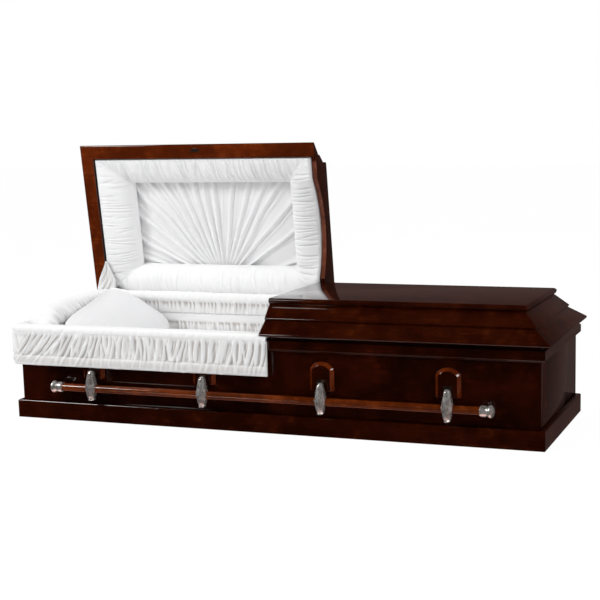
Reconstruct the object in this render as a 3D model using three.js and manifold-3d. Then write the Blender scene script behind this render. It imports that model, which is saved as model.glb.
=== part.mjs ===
// A half-couch wooden casket: a panelled box on a base moulding, a lid in two
// halves on a hinge along the back, a padded cloth interior and a swing-bar
// handle on each long side. The head half of the lid stands open.
// Millimetres. X runs along the casket, head end at -X. The front is at -Y.
// The origin is the middle of the underside.

import * as THREE from "three";
import { mergeVertices } from "three/addons/utils/BufferGeometryUtils.js";
import Module from "manifold-3d";

const wasm = await Module();
wasm.setup();

// The box
const boxLength = 2065;
const boxWidth = 640;
const boxHeight = 355;
const panelThickness = 19;
const bottomThickness = 18;
const jointGap = 0.3;

// Mouldings round the box, each with its reach beyond the panels
const baseReach = 17.5;
const baseHeight = 70;
const baseEasing = 4;
const rimReach = 16.4;
const rimHeight = 33;
const rimReveal = 8;
const rimCove = 11;
const backRimDrop = 5.5;

// Lid: two halves of one hipped crown under a flat top board
const lidLift = 7;
const lidReach = 35.4;
const lidSeamX = 2;
const seamGap = 4;
const rimFrameWidth = 57.4;
const rimFrameDepth = 22;
const rimLedge = 18;
const noseRadius = 5;
const lowerBandRise = 51.5;
const stepInset = 27;
const stepProud = 4.5;
const stepHeight = 7.5;
const upperBandRise = 45.7;
const topInset = 71;
const crownWall = 21;
const topBoardThickness = 22.7;
const topBoardBulge = 9;
const headerThickness = 19;
const headerLift = 19;
const archHalfSpan = 205;
const archRise = 53;

// Hinge along the back and how far the head half stands open
const hingeSetback = 11;
const hingeAboveRim = 6;
const hingeRadius = 3.5;
const hingeLeafThickness = 2.6;
const hingeLength = 1700;
const hingeGrooveClearance = 6;
const headLidOpenDegrees = 82.5;

// Handles: arched wood lugs, metal brackets and arms, a wood bar with metal tips
const lugPitch = 471;
const lugsPerSide = 4;
const lugWidth = 93;
const lugBottom = 169;
const lugHeight = 106;
const lugArchRise = 26;
const lugThickness = 16;
const lugBevel = 12;
const pivotHeight = 196;
const barStandOff = 35;
const barHeight = 134;
const barDiameter = 31;
const barLength = 1656;
const armBottom = 91;
const armWidth = 41;
const armEyeRadius = 8;
const tongueWidth = 12;
const bracketWidth = 30;
const bracketHeight = 32;
const bracketThickness = 4;
const tipLength = 52;
const tipDiameter = 46;

// Bed and cloth interior
const liningThickness = 38.7;
const liningBottom = 100;
const bedBoardTop = 178;
const bedBoardThickness = 18;
const runnerThickness = 20;
const runnerInset = 14;
const mattressThickness = 107;
const mattressClearance = 4;
const pillowLength = 352;
const pillowWidth = 440;
const pillowThickness = 158;
const pillowCentreX = -768;
const pillowMiddleFill = 0.72;
const pillowHeadFill = 0.36;

// Cloth skirt that hangs over the front and head rails
const skirtBottom = 214;
const skirtCloth = 5.5;
const skirtFullness = 15.8;
const skirtHem = 40;
const skirtPastSeam = 28;
const skirtBackStop = 30;

// Padded cloth in the head half of the lid
const puffSetIn = 2.5;
const puffFrontWidth = 111;
const puffBackWidth = 125;
const puffHeadWidth = 171;
const puffSeamWidth = 117;
const puffDepth = 77;
const sunburstOverlap = 22;
const clothClearance = 1.5;

// Positions that follow from the sizes above
const halfLength = boxLength / 2;
const halfWidth = boxWidth / 2;
const rimZ = boxHeight + lidLift;
const stepZ = rimZ + lowerBandRise;
const topBoardZ = stepZ + stepHeight + upperBandRise;
const hingeY = halfWidth + hingeSetback;
const hingeZ = rimZ + hingeAboveRim;
const headLidEnd = lidSeamX - seamGap / 2;
const footLidStart = lidSeamX + seamGap / 2;
const rimInset = rimFrameWidth - lidReach;
const mattressTop = bedBoardTop + jointGap + mattressThickness;
const barY = -(halfWidth + barStandOff);
const lugFaceY = -(halfWidth + jointGap + lugThickness);
const headerInnerX = headLidEnd - headerThickness - jointGap;

const woodDark = new THREE.MeshStandardMaterial({ color: 0x2a0d06, roughness: 0.16, metalness: 0 });
const woodBar = new THREE.MeshStandardMaterial({ color: 0x3c1408, roughness: 0.2, metalness: 0 });
const innerWood = new THREE.MeshStandardMaterial({ color: 0xa98a63, roughness: 0.7, metalness: 0 });
const silver = new THREE.MeshStandardMaterial({ color: 0xc9c9c6, roughness: 0.18, metalness: 1 });
const darkMetal = new THREE.MeshStandardMaterial({ color: 0x4a3a33, roughness: 0.35, metalness: 1 });
const whiteCloth = new THREE.MeshStandardMaterial({ color: 0xf3f3f1, roughness: 0.85, metalness: 0 });
const satin = new THREE.MeshStandardMaterial({ color: 0xf5f5f4, roughness: 0.6, metalness: 0 });

// A closed mesh from points and triangles, turned so that its faces point out
function closedMesh(points, triangles) {
  let volume = 0;
  for (const [a, b, c] of triangles) {
    const edge = points[b].clone().cross(points[c]);
    volume += points[a].dot(edge);
  }
  const index = [];
  for (const [a, b, c] of triangles) {
    index.push(a, volume < 0 ? c : b, volume < 0 ? b : c);
  }
  const geometry = new THREE.BufferGeometry();
  geometry.setAttribute("position", new THREE.Float32BufferAttribute(points.flatMap((p) => p.toArray()), 3));
  geometry.setIndex(index);
  return geometry;
}

// A skin over sections that all have the same number of corners. The first and
// last sections are capped, unless the run of sections closes on itself.
function skin(sections, closesOnItself = false) {
  const corners = sections[0].length;
  const points = sections.flat();
  const triangles = [];
  const spans = closesOnItself ? sections.length : sections.length - 1;
  for (let row = 0; row < spans; row += 1) {
    const here = row * corners;
    const next = ((row + 1) % sections.length) * corners;
    for (let corner = 0; corner < corners; corner += 1) {
      const after = (corner + 1) % corners;
      triangles.push([here + corner, here + after, next + after]);
      triangles.push([here + corner, next + after, next + corner]);
    }
  }
  if (!closesOnItself) {
    const last = (sections.length - 1) * corners;
    for (const [a, b, c] of capTriangles(sections[0])) {
      triangles.push([a, c, b]);
    }
    for (const [a, b, c] of capTriangles(sections.at(-1))) {
      triangles.push([last + a, last + b, last + c]);
    }
  }
  return closedMesh(points, triangles);
}

// Triangles over one flat section, seen along the axis that it is widest to
function capTriangles(section) {
  const normal = new THREE.Vector3();
  for (let i = 0; i < section.length; i += 1) {
    normal.add(section[i].clone().cross(section[(i + 1) % section.length]));
  }
  const size = [Math.abs(normal.x), Math.abs(normal.y), Math.abs(normal.z)];
  const widest = size.indexOf(Math.max(...size));
  const flat = section.map((p) => {
    const [u, v] = p.toArray().filter((value, axis) => axis !== widest);
    return new THREE.Vector2(u, v);
  });
  const turned = THREE.ShapeUtils.isClockWise(flat);
  const outline = turned ? [...flat].reverse() : flat;
  const last = flat.length - 1;
  const triangles = THREE.ShapeUtils.triangulateShape(outline, []);
  const mapped = triangles.map((t) => t.map((i) => (turned ? last - i : i)));
  const [a, b, c] = mapped[0].map((i) => section[i]);
  const facing = b.clone().sub(a).cross(c.clone().sub(a)).dot(normal);
  return facing < 0 ? mapped.map(([p, q, r]) => [p, r, q]) : mapped;
}

// Four corners of a level rectangle
function rectangle(reachX, reachY, z) {
  return [
    new THREE.Vector3(-reachX, -reachY, z),
    new THREE.Vector3(reachX, -reachY, z),
    new THREE.Vector3(reachX, reachY, z),
    new THREE.Vector3(-reachX, reachY, z),
  ];
}

// A block whose sides follow [outset, z] layers round the box outline
function layeredBlock(layers) {
  return skin(layers.map(([outset, z]) => rectangle(halfLength + outset, halfWidth + outset, z)));
}

// A closed frame whose section of [outset, z] corners runs right round the box
function framed(section) {
  const around = rectangle(1, 1, 0).map((corner) => section.map(([outset, z]) => new THREE.Vector3(
    corner.x * (halfLength + outset),
    corner.y * (halfWidth + outset),
    z,
  )));
  return skin(around, true);
}

// One side of such a frame, with mitred ends. The side is -Y, +Y, -X or +X.
function mitredSide(section, axis, sign) {
  const alongHalf = axis === "y" ? halfLength : halfWidth;
  const acrossHalf = axis === "y" ? halfWidth : halfLength;
  return skin([-1, 1].map((end) => section.map(([outset, z]) => {
    const along = end * (alongHalf + outset - jointGap);
    const across = sign * (acrossHalf + outset);
    return axis === "y" ? new THREE.Vector3(along, across, z) : new THREE.Vector3(across, along, z);
  })));
}

// A block between two opposite corners
function block(low, high) {
  const size = high.map((value, axis) => value - low[axis]);
  const middle = high.map((value, axis) => (value + low[axis]) / 2);
  const geometry = new THREE.BoxGeometry(...size);
  geometry.translate(...middle);
  return geometry;
}

// A bar with the same [y, z] section all along X
function alongX(section, fromX, toX) {
  return skin([fromX, toX].map((x) => section.map(([y, z]) => new THREE.Vector3(x, y, z))));
}

// A turned piece about the Z axis from [radius, z] corners
function turned(profile, segments) {
  const points = profile.map(([radius, z]) => new THREE.Vector2(radius, z));
  const geometry = new THREE.LatheGeometry(points, segments);
  geometry.rotateX(Math.PI / 2);
  return geometry;
}

function toSolid(geometry) {
  const bare = geometry.clone();
  bare.deleteAttribute("normal");
  bare.deleteAttribute("uv");
  const merged = mergeVertices(bare, 1e-4);
  return new wasm.Manifold(new wasm.Mesh({
    numProp: 3,
    vertProperties: new Float32Array(merged.attributes.position.array),
    triVerts: new Uint32Array(merged.index.array),
  }));
}

function fromSolid(solid) {
  const mesh = solid.getMesh();
  const geometry = new THREE.BufferGeometry();
  geometry.setAttribute("position", new THREE.Float32BufferAttribute(mesh.vertProperties, 3));
  geometry.setIndex([...mesh.triVerts]);
  return geometry;
}

function cutAway(geometry, ...cutters) {
  return fromSolid(cutters.reduce((solid, cutter) => solid.subtract(toSolid(cutter)), toSolid(geometry)));
}

function joined(...pieces) {
  return fromSolid(pieces.map(toSolid).reduce((whole, piece) => whole.add(piece)));
}

function common(geometry, keeper) {
  return fromSolid(toSolid(geometry).intersect(toSolid(keeper)));
}

function addPiece(group, name, geometry, material) {
  const mesh = new THREE.Mesh(geometry, material);
  mesh.name = name;
  group.add(mesh);
  return mesh;
}

const casket = new THREE.Group();

// Box panels
addPiece(casket, "bottom_board", block(
  [-(halfLength - panelThickness - jointGap), -(halfWidth - panelThickness - jointGap), 0],
  [halfLength - panelThickness - jointGap, halfWidth - panelThickness - jointGap, bottomThickness],
), innerWood);
addPiece(casket, "front_panel", block(
  [-halfLength, -halfWidth, 0],
  [halfLength, -(halfWidth - panelThickness), boxHeight],
), woodDark);
addPiece(casket, "back_panel", block(
  [-halfLength, halfWidth - panelThickness, 0],
  [halfLength, halfWidth, boxHeight],
), woodDark);
const endPanelHalf = halfWidth - panelThickness - jointGap;
addPiece(casket, "head_end_panel", block(
  [-halfLength, -endPanelHalf, 0],
  [-(halfLength - panelThickness), endPanelHalf, boxHeight],
), woodDark);
addPiece(casket, "foot_end_panel", block(
  [halfLength - panelThickness, -endPanelHalf, 0],
  [halfLength, endPanelHalf, boxHeight],
), woodDark);

// Base and rim mouldings, mitred at the corners
const sides = [["front", "y", -1], ["back", "y", 1], ["head", "x", -1], ["foot", "x", 1]];
const baseSection = [
  [jointGap, 0],
  [baseReach, 0],
  [baseReach, baseHeight - baseEasing],
  [baseReach - baseEasing * 0.4, baseHeight - baseEasing * 0.4],
  [baseReach - baseEasing, baseHeight],
  [jointGap, baseHeight],
];
const rimTop = boxHeight - rimReveal;
const rimBottom = rimTop - rimHeight;
const rimSection = [
  [jointGap, rimBottom - rimCove],
  [rimReach * 0.25, rimBottom - rimCove],
  [rimReach * 0.55, rimBottom - rimCove * 0.65],
  [rimReach, rimBottom],
  [rimReach, rimTop - 2],
  [rimReach - 2, rimTop],
  [jointGap, rimTop],
];
// The moulding is cut down along the back, where the nose of an open lid swings below the rim
const backRimTop = rimTop - backRimDrop;
const openLidRelief = block(
  [-boxLength, halfWidth - backRimDrop, backRimTop],
  [boxLength, boxWidth, boxHeight],
);
for (const [side, axis, sign] of sides) {
  const topMoulding = mitredSide(rimSection, axis, sign);
  addPiece(casket, `base_moulding_${side}`, mitredSide(baseSection, axis, sign), woodDark);
  addPiece(casket, `top_moulding_${side}`, cutAway(topMoulding, openLidRelief), woodDark);
}

// Lid crown: section of [outset, z] corners, outside first, then back up the inside
const crownSection = [
  [-rimInset, rimZ],
  [lidReach - noseRadius * 0.9, rimZ],
  [lidReach - noseRadius * 0.3, rimZ + noseRadius * 0.3],
  [lidReach, rimZ + noseRadius],
  [lidReach - noseRadius * 0.15, rimZ + noseRadius * 1.7],
  [lidReach - noseRadius * 0.7, rimZ + noseRadius * 2.2],
  [-stepInset, stepZ],
  [-stepInset + stepProud, stepZ + stepHeight * 0.5],
  [-stepInset + stepProud, stepZ + stepHeight],
  [-topInset, topBoardZ],
  [-(topInset + crownWall), topBoardZ],
  [-(topInset + crownWall), topBoardZ - stepHeight],
  [-(stepInset + rimLedge), stepZ - stepHeight],
  [-(rimInset + rimLedge), rimZ + rimFrameDepth],
  [-rimInset, rimZ + rimFrameDepth],
];
const farPastLid = halfLength + lidReach + 10;
const lidSpaceHigh = topBoardZ + topBoardThickness + 10;
function lidSpace(fromX, toX) {
  return block([fromX, -farPastLid, rimZ - 10], [toX, farPastLid, lidSpaceHigh]);
}
const headSpace = lidSpace(-farPastLid, headLidEnd);
const footSpace = lidSpace(footLidStart, farPastLid);
const hingeGroove = block(
  [-(hingeLength / 2 + hingeGrooveClearance), halfWidth - jointGap, rimZ - 1],
  [hingeLength / 2 + hingeGrooveClearance, hingeY + hingeRadius + hingeGrooveClearance, hingeZ + hingeRadius + 2],
);
const crown = cutAway(framed(crownSection), hingeGroove);

// Top board with a rounded edge
const topBoard = layeredBlock([
  [-topInset + topBoardBulge * 0.15, topBoardZ + jointGap],
  [-topInset + topBoardBulge * 0.7, topBoardZ + topBoardThickness * 0.22],
  [-topInset + topBoardBulge, topBoardZ + topBoardThickness * 0.55],
  [-topInset + topBoardBulge * 0.85, topBoardZ + topBoardThickness * 0.78],
  [-topInset, topBoardZ + topBoardThickness],
]);

// Arched board that closes a lid half at the seam. archZ gives the arch's height.
const headerBottom = rimZ + headerLift;
const archRadius = (archHalfSpan ** 2 + archRise ** 2) / (2 * archRise);
function archZ(y) {
  const reach = Math.min(Math.abs(y), archHalfSpan);
  return headerBottom + archRise - archRadius + Math.sqrt(archRadius ** 2 - reach ** 2);
}
const archSteps = 16;
const headerHalf = halfWidth - rimInset - rimLedge - jointGap;
const upperHalf = halfWidth - topInset - crownWall - jointGap;
const headerOutline = [[-headerHalf, headerBottom]];
for (let step = 0; step <= archSteps; step += 1) {
  const y = -archHalfSpan + (2 * archHalfSpan * step) / archSteps;
  headerOutline.push([y, archZ(y)]);
}
headerOutline.push([headerHalf, headerBottom]);
const stepHalf = halfWidth - stepInset - rimLedge - jointGap;
for (const sign of [1, -1]) {
  const climb = [
    [sign * headerHalf, rimZ + rimFrameDepth],
    [sign * stepHalf, stepZ - stepHeight],
    [sign * upperHalf, topBoardZ - stepHeight],
    [sign * upperHalf, topBoardZ - jointGap],
  ];
  headerOutline.push(...(sign > 0 ? climb : climb.reverse()));
}
function header(fromX) {
  return alongX(headerOutline, fromX, fromX + headerThickness);
}

// Head half of the lid, hung on the hinge line and stood open
const headLid = new THREE.Group();
headLid.position.set(0, hingeY, hingeZ);
headLid.rotation.x = -THREE.MathUtils.degToRad(headLidOpenDegrees);
casket.add(headLid);
function addToHeadLid(name, geometry, material) {
  addPiece(headLid, name, geometry, material).position.set(0, -hingeY, -hingeZ);
}
addToHeadLid("head_lid_crown", common(crown, headSpace), woodDark);
addToHeadLid("head_lid_top_board", common(topBoard, headSpace), woodDark);
addToHeadLid("head_lid_header", header(headLidEnd - headerThickness), woodDark);

// Foot half of the lid, closed
addPiece(casket, "foot_lid_crown", common(crown, footSpace), woodDark);
addPiece(casket, "foot_lid_top_board", common(topBoard, footSpace), woodDark);
addPiece(casket, "foot_lid_header", header(footLidStart), woodDark);

// Padded cloth frame in the head lid: four mitred puffs round the sunburst panel
const puffOuter = {
  minX: -(halfLength - rimInset - puffSetIn),
  maxX: headerInnerX - puffSetIn,
  minY: -(halfWidth - rimInset - puffSetIn),
  maxY: halfWidth - rimInset - puffSetIn,
};
const puffInner = {
  minX: puffOuter.minX + puffHeadWidth,
  maxX: puffOuter.maxX - puffSeamWidth,
  minY: puffOuter.minY + puffFrontWidth,
  maxY: puffOuter.maxY - puffBackWidth,
};
const puffFront = rimZ + clothClearance;
const puffBack = puffFront + puffDepth;
// Shares of the narrowest puff's width where its back passes the crown's inner corners
const crownLedgeShare = (rimLedge - puffSetIn + 2 * clothClearance) / puffFrontWidth;
const crownStepShare = crownLedgeShare + (stepInset - rimInset) / puffFrontWidth;
const crownTopShare = (topInset + crownWall - rimInset - puffSetIn) / puffFrontWidth;
const puffSection = [
  [0, puffFront],
  [0, rimZ + rimFrameDepth - clothClearance],
  [crownLedgeShare, rimZ + rimFrameDepth - clothClearance],
  [crownStepShare, stepZ - stepHeight - clothClearance],
  [crownTopShare, puffBack],
  [1, puffBack],
  [1, puffBack - puffDepth * 0.07],
  [0.86, puffBack - puffDepth * 0.28],
  [0.5, puffBack - puffDepth * 0.64],
  [0.2, puffFront + puffDepth * 0.07],
];
function puff(start, end, lift, stations) {
  const sections = [];
  for (let station = 0; station <= stations; station += 1) {
    const share = station / stations;
    sections.push(puffSection.map(([t, z]) => {
      const from = start.outer.clone().lerp(start.inner, t);
      const to = end.outer.clone().lerp(end.inner, t);
      const run = to.clone().sub(from).normalize().multiplyScalar(jointGap);
      const place = from.add(run).lerp(to.sub(run), share);
      const raised = Math.min(z + lift(place.y) * (1 - t), puffBack);
      return new THREE.Vector3(place.x, place.y, Math.max(z, raised));
    }));
  }
  return skin(sections);
}
function puffCorner(sideX, sideY) {
  return {
    outer: new THREE.Vector2(puffOuter[sideX], puffOuter[sideY]),
    inner: new THREE.Vector2(puffInner[sideX], puffInner[sideY]),
  };
}
const headFront = puffCorner("minX", "minY");
const seamFront = puffCorner("maxX", "minY");
const seamBack = puffCorner("maxX", "maxY");
const headBack = puffCorner("minX", "maxY");
const noLift = () => 0;
const archLift = (y) => Math.max(0, (archZ(y) - headerBottom) / archRise) * (puffDepth - clothClearance);
addToHeadLid("head_lid_puff_front", puff(headFront, seamFront, noLift, 1), whiteCloth);
addToHeadLid("head_lid_puff_seam", puff(seamFront, seamBack, archLift, archSteps), whiteCloth);
addToHeadLid("head_lid_puff_hinge", puff(seamBack, headBack, noLift, 1), whiteCloth);
addToHeadLid("head_lid_puff_head", puff(headBack, headFront, noLift, 1), whiteCloth);
addToHeadLid("head_lid_sunburst", block(
  [puffInner.minX - sunburstOverlap, puffInner.minY - sunburstOverlap, puffBack + clothClearance],
  [puffInner.maxX + sunburstOverlap, puffInner.maxY + sunburstOverlap, topBoardZ - jointGap],
), whiteCloth);

// Hinge leaf with its barrel: one strip that stands on the back moulding
const leafFoot = backRimTop + jointGap;
const leafInnerY = halfWidth + jointGap * 2;
const leafOuterY = leafInnerY + hingeLeafThickness;
const hingeSection = [
  [leafInnerY, leafFoot],
  [leafOuterY, leafFoot],
  [leafOuterY, rimZ - 0.5],
];
const barrelSteps = 12;
for (let step = 0; step <= barrelSteps; step += 1) {
  const angle = -0.7 * Math.PI + (1.62 * Math.PI * step) / barrelSteps;
  hingeSection.push([hingeY + hingeRadius * Math.cos(angle), hingeZ + hingeRadius * Math.sin(angle)]);
}
hingeSection.push([leafInnerY, rimZ + 1.5]);
addPiece(casket, "lid_hinge", alongX(hingeSection, -hingeLength / 2, hingeLength / 2), darkMetal);

// Handles. Each set is made for the front; the back set is turned half round.
const lugHalf = lugWidth / 2;
const lugArchRadius = (lugHalf ** 2 + lugArchRise ** 2) / (2 * lugArchRise);
const lugArchCentre = lugBottom + lugHeight - lugArchRadius;
const lugArchSteps = 10;
function lugOutline(inset, y) {
  const half = lugHalf - inset;
  const radius = lugArchRadius - inset;
  const shoulder = Math.asin(half / radius);
  const outline = [new THREE.Vector3(-half, y, lugBottom), new THREE.Vector3(half, y, lugBottom)];
  for (let step = 0; step <= lugArchSteps; step += 1) {
    const angle = shoulder - (2 * shoulder * step) / lugArchSteps;
    const z = lugArchCentre + radius * Math.cos(angle);
    outline.push(new THREE.Vector3(radius * Math.sin(angle), y, z));
  }
  return outline;
}
const lugBackY = -(halfWidth + jointGap);
const lug = skin([
  lugOutline(0, lugBackY),
  lugOutline(0, lugBackY - (lugThickness - lugBevel)),
  lugOutline(lugBevel, lugFaceY),
]);

const tongueReach = armEyeRadius - 1;
const plateBackY = lugFaceY - jointGap;
const plateFrontY = plateBackY - bracketThickness;
const tongueEnd = [];
const tongueSteps = 8;
for (let step = 0; step <= tongueSteps; step += 1) {
  const angle = -Math.PI / 2 - (Math.PI * step) / tongueSteps;
  tongueEnd.push([barY + tongueReach * Math.cos(angle), pivotHeight + tongueReach * Math.sin(angle)]);
}
const tongueSection = [
  ...tongueEnd,
  [plateFrontY + bracketThickness / 2, pivotHeight + tongueReach],
  [plateFrontY + bracketThickness / 2, pivotHeight - tongueReach],
];
const bracket = joined(
  block(
    [-bracketWidth / 2, plateFrontY, pivotHeight - bracketHeight / 2],
    [bracketWidth / 2, plateBackY, pivotHeight + bracketHeight / 2],
  ),
  alongX(tongueSection, -tongueWidth / 2, tongueWidth / 2),
);

const armHalf = armWidth / 2;
const armTop = pivotHeight + armEyeRadius;
const armDrop = armTop - armBottom;
const armProfile = [
  [0, armBottom],
  [armHalf * 0.5, armBottom],
  [armHalf * 0.55, armBottom + armDrop * 0.04],
  [armHalf * 0.5, armBottom + armDrop * 0.08],
  [armHalf * 0.78, armBottom + armDrop * 0.22],
  [armHalf * 0.98, barHeight],
  [armHalf, barHeight + armDrop * 0.11],
  [armHalf * 0.72, barHeight + armDrop * 0.34],
  [armHalf * 0.46, pivotHeight - armEyeRadius * 0.6],
  [armHalf * 0.5, pivotHeight],
  [armHalf * 0.34, armTop - armEyeRadius * 0.2],
  [0, armTop],
];
const armSegments = 16;
const barSegments = 20;
const barRadius = barDiameter / 2;
const armSolid = turned(armProfile, armSegments);
armSolid.translate(0, barY, 0);
const barBore = new THREE.CylinderGeometry(barRadius + jointGap, barRadius + jointGap, armWidth * 2, barSegments);
barBore.rotateZ(Math.PI / 2);
barBore.translate(0, barY, barHeight);
const slotHalf = tongueWidth / 2 + jointGap;
const slot = block(
  [-slotHalf, barY - armWidth, pivotHeight - armEyeRadius - 1],
  [slotHalf, barY + armWidth, armTop + 1],
);
const arm = cutAway(armSolid, barBore, slot);

const barGeometry = new THREE.CylinderGeometry(barRadius, barRadius, barLength, barSegments);
barGeometry.rotateZ(Math.PI / 2);
barGeometry.translate(0, barY, barHeight);

// Tip at the +X end of a bar: a collar, a bulb and a small finial
const tipRadius = tipDiameter / 2;
const tipProfile = [
  [0, 0],
  [tipRadius * 0.74, 0],
  [tipRadius * 0.86, tipLength * 0.1],
  [tipRadius * 0.82, tipLength * 0.42],
  [tipRadius * 0.66, tipLength * 0.5],
  [tipRadius, tipLength * 0.58],
  [tipRadius, tipLength * 0.76],
  [tipRadius * 0.72, tipLength * 0.9],
  [tipRadius * 0.3, tipLength * 0.96],
  [0, tipLength],
];
const tip = turned(tipProfile, armSegments);
tip.rotateY(Math.PI / 2);
tip.translate(barLength / 2 + jointGap, barY, barHeight);

for (const [side, halfTurn] of [["front", 0], ["back", Math.PI]]) {
  const set = new THREE.Group();
  set.rotation.z = halfTurn;
  casket.add(set);
  for (let place = 0; place < lugsPerSide; place += 1) {
    const count = halfTurn === 0 ? place + 1 : lugsPerSide - place;
    const x = (place - (lugsPerSide - 1) / 2) * lugPitch;
    addPiece(set, `${side}_lug_${count}`, lug, woodDark).position.x = x;
    addPiece(set, `${side}_bracket_${count}`, bracket, darkMetal).position.x = x;
    addPiece(set, `${side}_arm_${count}`, arm, silver).position.x = x;
  }
  addPiece(set, `${side}_bar`, barGeometry, woodBar);
  const footTip = tip;
  const headTip = common(tip.clone().rotateZ(Math.PI), block(
    [-barLength, -barLength, 0],
    [barLength, barLength, barLength],
  ));
  headTip.translate(0, 2 * barY, 0);
  const names = halfTurn === 0 ? ["foot", "head"] : ["head", "foot"];
  addPiece(set, `${side}_tip_${names[0]}`, footTip, silver);
  addPiece(set, `${side}_tip_${names[1]}`, headTip, silver);
}

// Lining round the inside of the panels
const liningOut = panelThickness + jointGap;
const liningIn = liningOut + liningThickness;
const liningTop = boxHeight - clothClearance;
addPiece(casket, "body_lining", framed([
  [-liningOut, liningBottom],
  [-liningOut, liningTop - liningThickness * 0.2],
  [-(liningOut + liningThickness * 0.2), liningTop],
  [-(liningIn - liningThickness * 0.3), liningTop],
  [-liningIn, liningTop - liningThickness * 0.3],
  [-liningIn, liningBottom],
]), whiteCloth);

// Bed board on two runners, and the mattress on it
const bedHalfLength = halfLength - liningIn - mattressClearance;
const bedHalfWidth = halfWidth - liningIn - mattressClearance;
const runnerOuter = bedHalfWidth - runnerInset;
const runnerInner = runnerOuter - runnerThickness;
const bedBoardUnder = bedBoardTop - bedBoardThickness;
const runnerFoot = bottomThickness + jointGap;
addPiece(casket, "bed_frame", alongX([
  [-bedHalfWidth, bedBoardTop],
  [-bedHalfWidth, bedBoardUnder],
  [-runnerOuter, bedBoardUnder],
  [-runnerOuter, runnerFoot],
  [-runnerInner, runnerFoot],
  [-runnerInner, bedBoardUnder],
  [runnerInner, bedBoardUnder],
  [runnerInner, runnerFoot],
  [runnerOuter, runnerFoot],
  [runnerOuter, bedBoardUnder],
  [bedHalfWidth, bedBoardUnder],
  [bedHalfWidth, bedBoardTop],
], -bedHalfLength, bedHalfLength), innerWood);
const mattressUnder = bedBoardTop + jointGap;
const mattressOutset = -(liningIn + mattressClearance);
addPiece(casket, "mattress", layeredBlock([
  [mattressOutset - 12, mattressUnder],
  [mattressOutset, mattressUnder + 14],
  [mattressOutset, mattressTop - 22],
  [mattressOutset - 10, mattressTop - 6],
  [mattressOutset - 30, mattressTop],
]), whiteCloth);

// Pillow: a soft square cushion, full in the middle, thin at its seams and propped up at the head
const pillowRings = [
  [0.8, 0],
  [0.94, 0.1],
  [1, 0.26],
  [0.96, 0.36],
  [0.84, 0.58],
  [0.64, 0.8],
  [0.4, 0.94],
  [0.16, 1],
];
const pillowSides = 24;
const pillowSquareness = 3.2;
const pillowUnder = mattressTop + jointGap;
addPiece(casket, "pillow", skin(pillowRings.map(([reach, height]) => {
  const ring = [];
  for (let corner = 0; corner < pillowSides; corner += 1) {
    const angle = (2 * Math.PI * corner) / pillowSides;
    const spread = (Math.abs(Math.cos(angle)) ** pillowSquareness + Math.abs(Math.sin(angle)) ** pillowSquareness)
      ** (-1 / pillowSquareness);
    const alongShare = reach * spread * Math.cos(angle);
    const acrossShare = reach * spread * Math.sin(angle);
    const fill = pillowMiddleFill - pillowHeadFill * alongShare;
    ring.push(new THREE.Vector3(
      pillowCentreX + (pillowLength / 2) * alongShare,
      (pillowWidth / 2) * acrossShare,
      pillowUnder + pillowThickness * height * fill,
    ));
  }
  return ring;
})), satin);

// Skirt: over the rail, then down outside, along the front and round the head end
const skirtInner = rimReach + jointGap + 0.5;
const skirtOuter = skirtInner + skirtFullness;
const skirtUnder = boxHeight + jointGap;
const skirtTop = skirtUnder + skirtCloth;
const skirtSection = [
  [-liningIn + 4, skirtUnder],
  [skirtInner, skirtUnder],
  [skirtInner, skirtBottom],
  [skirtOuter, skirtBottom],
  [skirtOuter + 1, skirtBottom + skirtHem * 0.5],
  [skirtOuter - 3, skirtBottom + skirtHem],
  [skirtOuter, skirtBottom + skirtHem * 1.4],
  [skirtOuter, skirtUnder - skirtCloth],
  [skirtOuter - 3, skirtTop - skirtCloth * 0.4],
  [skirtOuter - 8, skirtTop],
  [-liningIn + 10, skirtTop],
];
const skirtRun = joined(
  block([-farPastLid, -farPastLid, 0], [lidSeamX + skirtPastSeam, -(halfWidth - liningIn - 1), lidSpaceHigh]),
  block([-farPastLid, -farPastLid, 0], [-(halfLength - liningIn - 1), halfWidth - skirtBackStop, lidSpaceHigh]),
);
addPiece(casket, "overlay_skirt", common(framed(skirtSection), skirtRun), whiteCloth);

export default casket;
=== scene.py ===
"""Funeral casket: polished wood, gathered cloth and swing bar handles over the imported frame."""

import logging
import math
from collections.abc import Callable, Sequence
from dataclasses import dataclass
from enum import Enum

import bmesh
import bpy
import numpy as np
from mathutils import Matrix, Vector


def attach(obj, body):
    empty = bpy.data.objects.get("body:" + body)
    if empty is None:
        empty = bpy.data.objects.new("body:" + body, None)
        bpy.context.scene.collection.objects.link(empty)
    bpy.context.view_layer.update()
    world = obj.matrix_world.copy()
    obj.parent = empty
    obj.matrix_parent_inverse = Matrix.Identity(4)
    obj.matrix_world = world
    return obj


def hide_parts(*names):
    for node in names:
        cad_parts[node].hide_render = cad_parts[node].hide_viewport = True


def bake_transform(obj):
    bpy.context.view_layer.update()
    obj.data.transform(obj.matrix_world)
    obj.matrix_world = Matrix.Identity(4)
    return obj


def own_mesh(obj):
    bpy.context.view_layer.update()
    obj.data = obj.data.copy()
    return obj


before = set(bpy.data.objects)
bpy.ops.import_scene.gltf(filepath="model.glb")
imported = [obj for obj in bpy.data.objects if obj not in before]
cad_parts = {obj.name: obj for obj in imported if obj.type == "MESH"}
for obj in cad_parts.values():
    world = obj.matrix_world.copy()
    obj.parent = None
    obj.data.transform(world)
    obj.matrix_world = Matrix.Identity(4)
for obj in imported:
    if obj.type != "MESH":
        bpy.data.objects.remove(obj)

LOG = logging.getLogger("casket")
MM = 0.001
OUTSIDE = 30.0
TURNS = 2048
KNOT_STEPS = 24
EVENING_ROUNDS = 34
Pair = tuple[float, float]
Triple = tuple[float, float, float]
Section = Sequence[Pair]


class Body(Enum):
    """The moving and fixed bodies of the casket."""

    CASKET = "casket_body"
    HEAD_LID = "head_lid"
    FOOT_LID = "foot_lid"
    FRONT_HANDLE = "front_handle"
    BACK_HANDLE = "back_handle"


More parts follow.
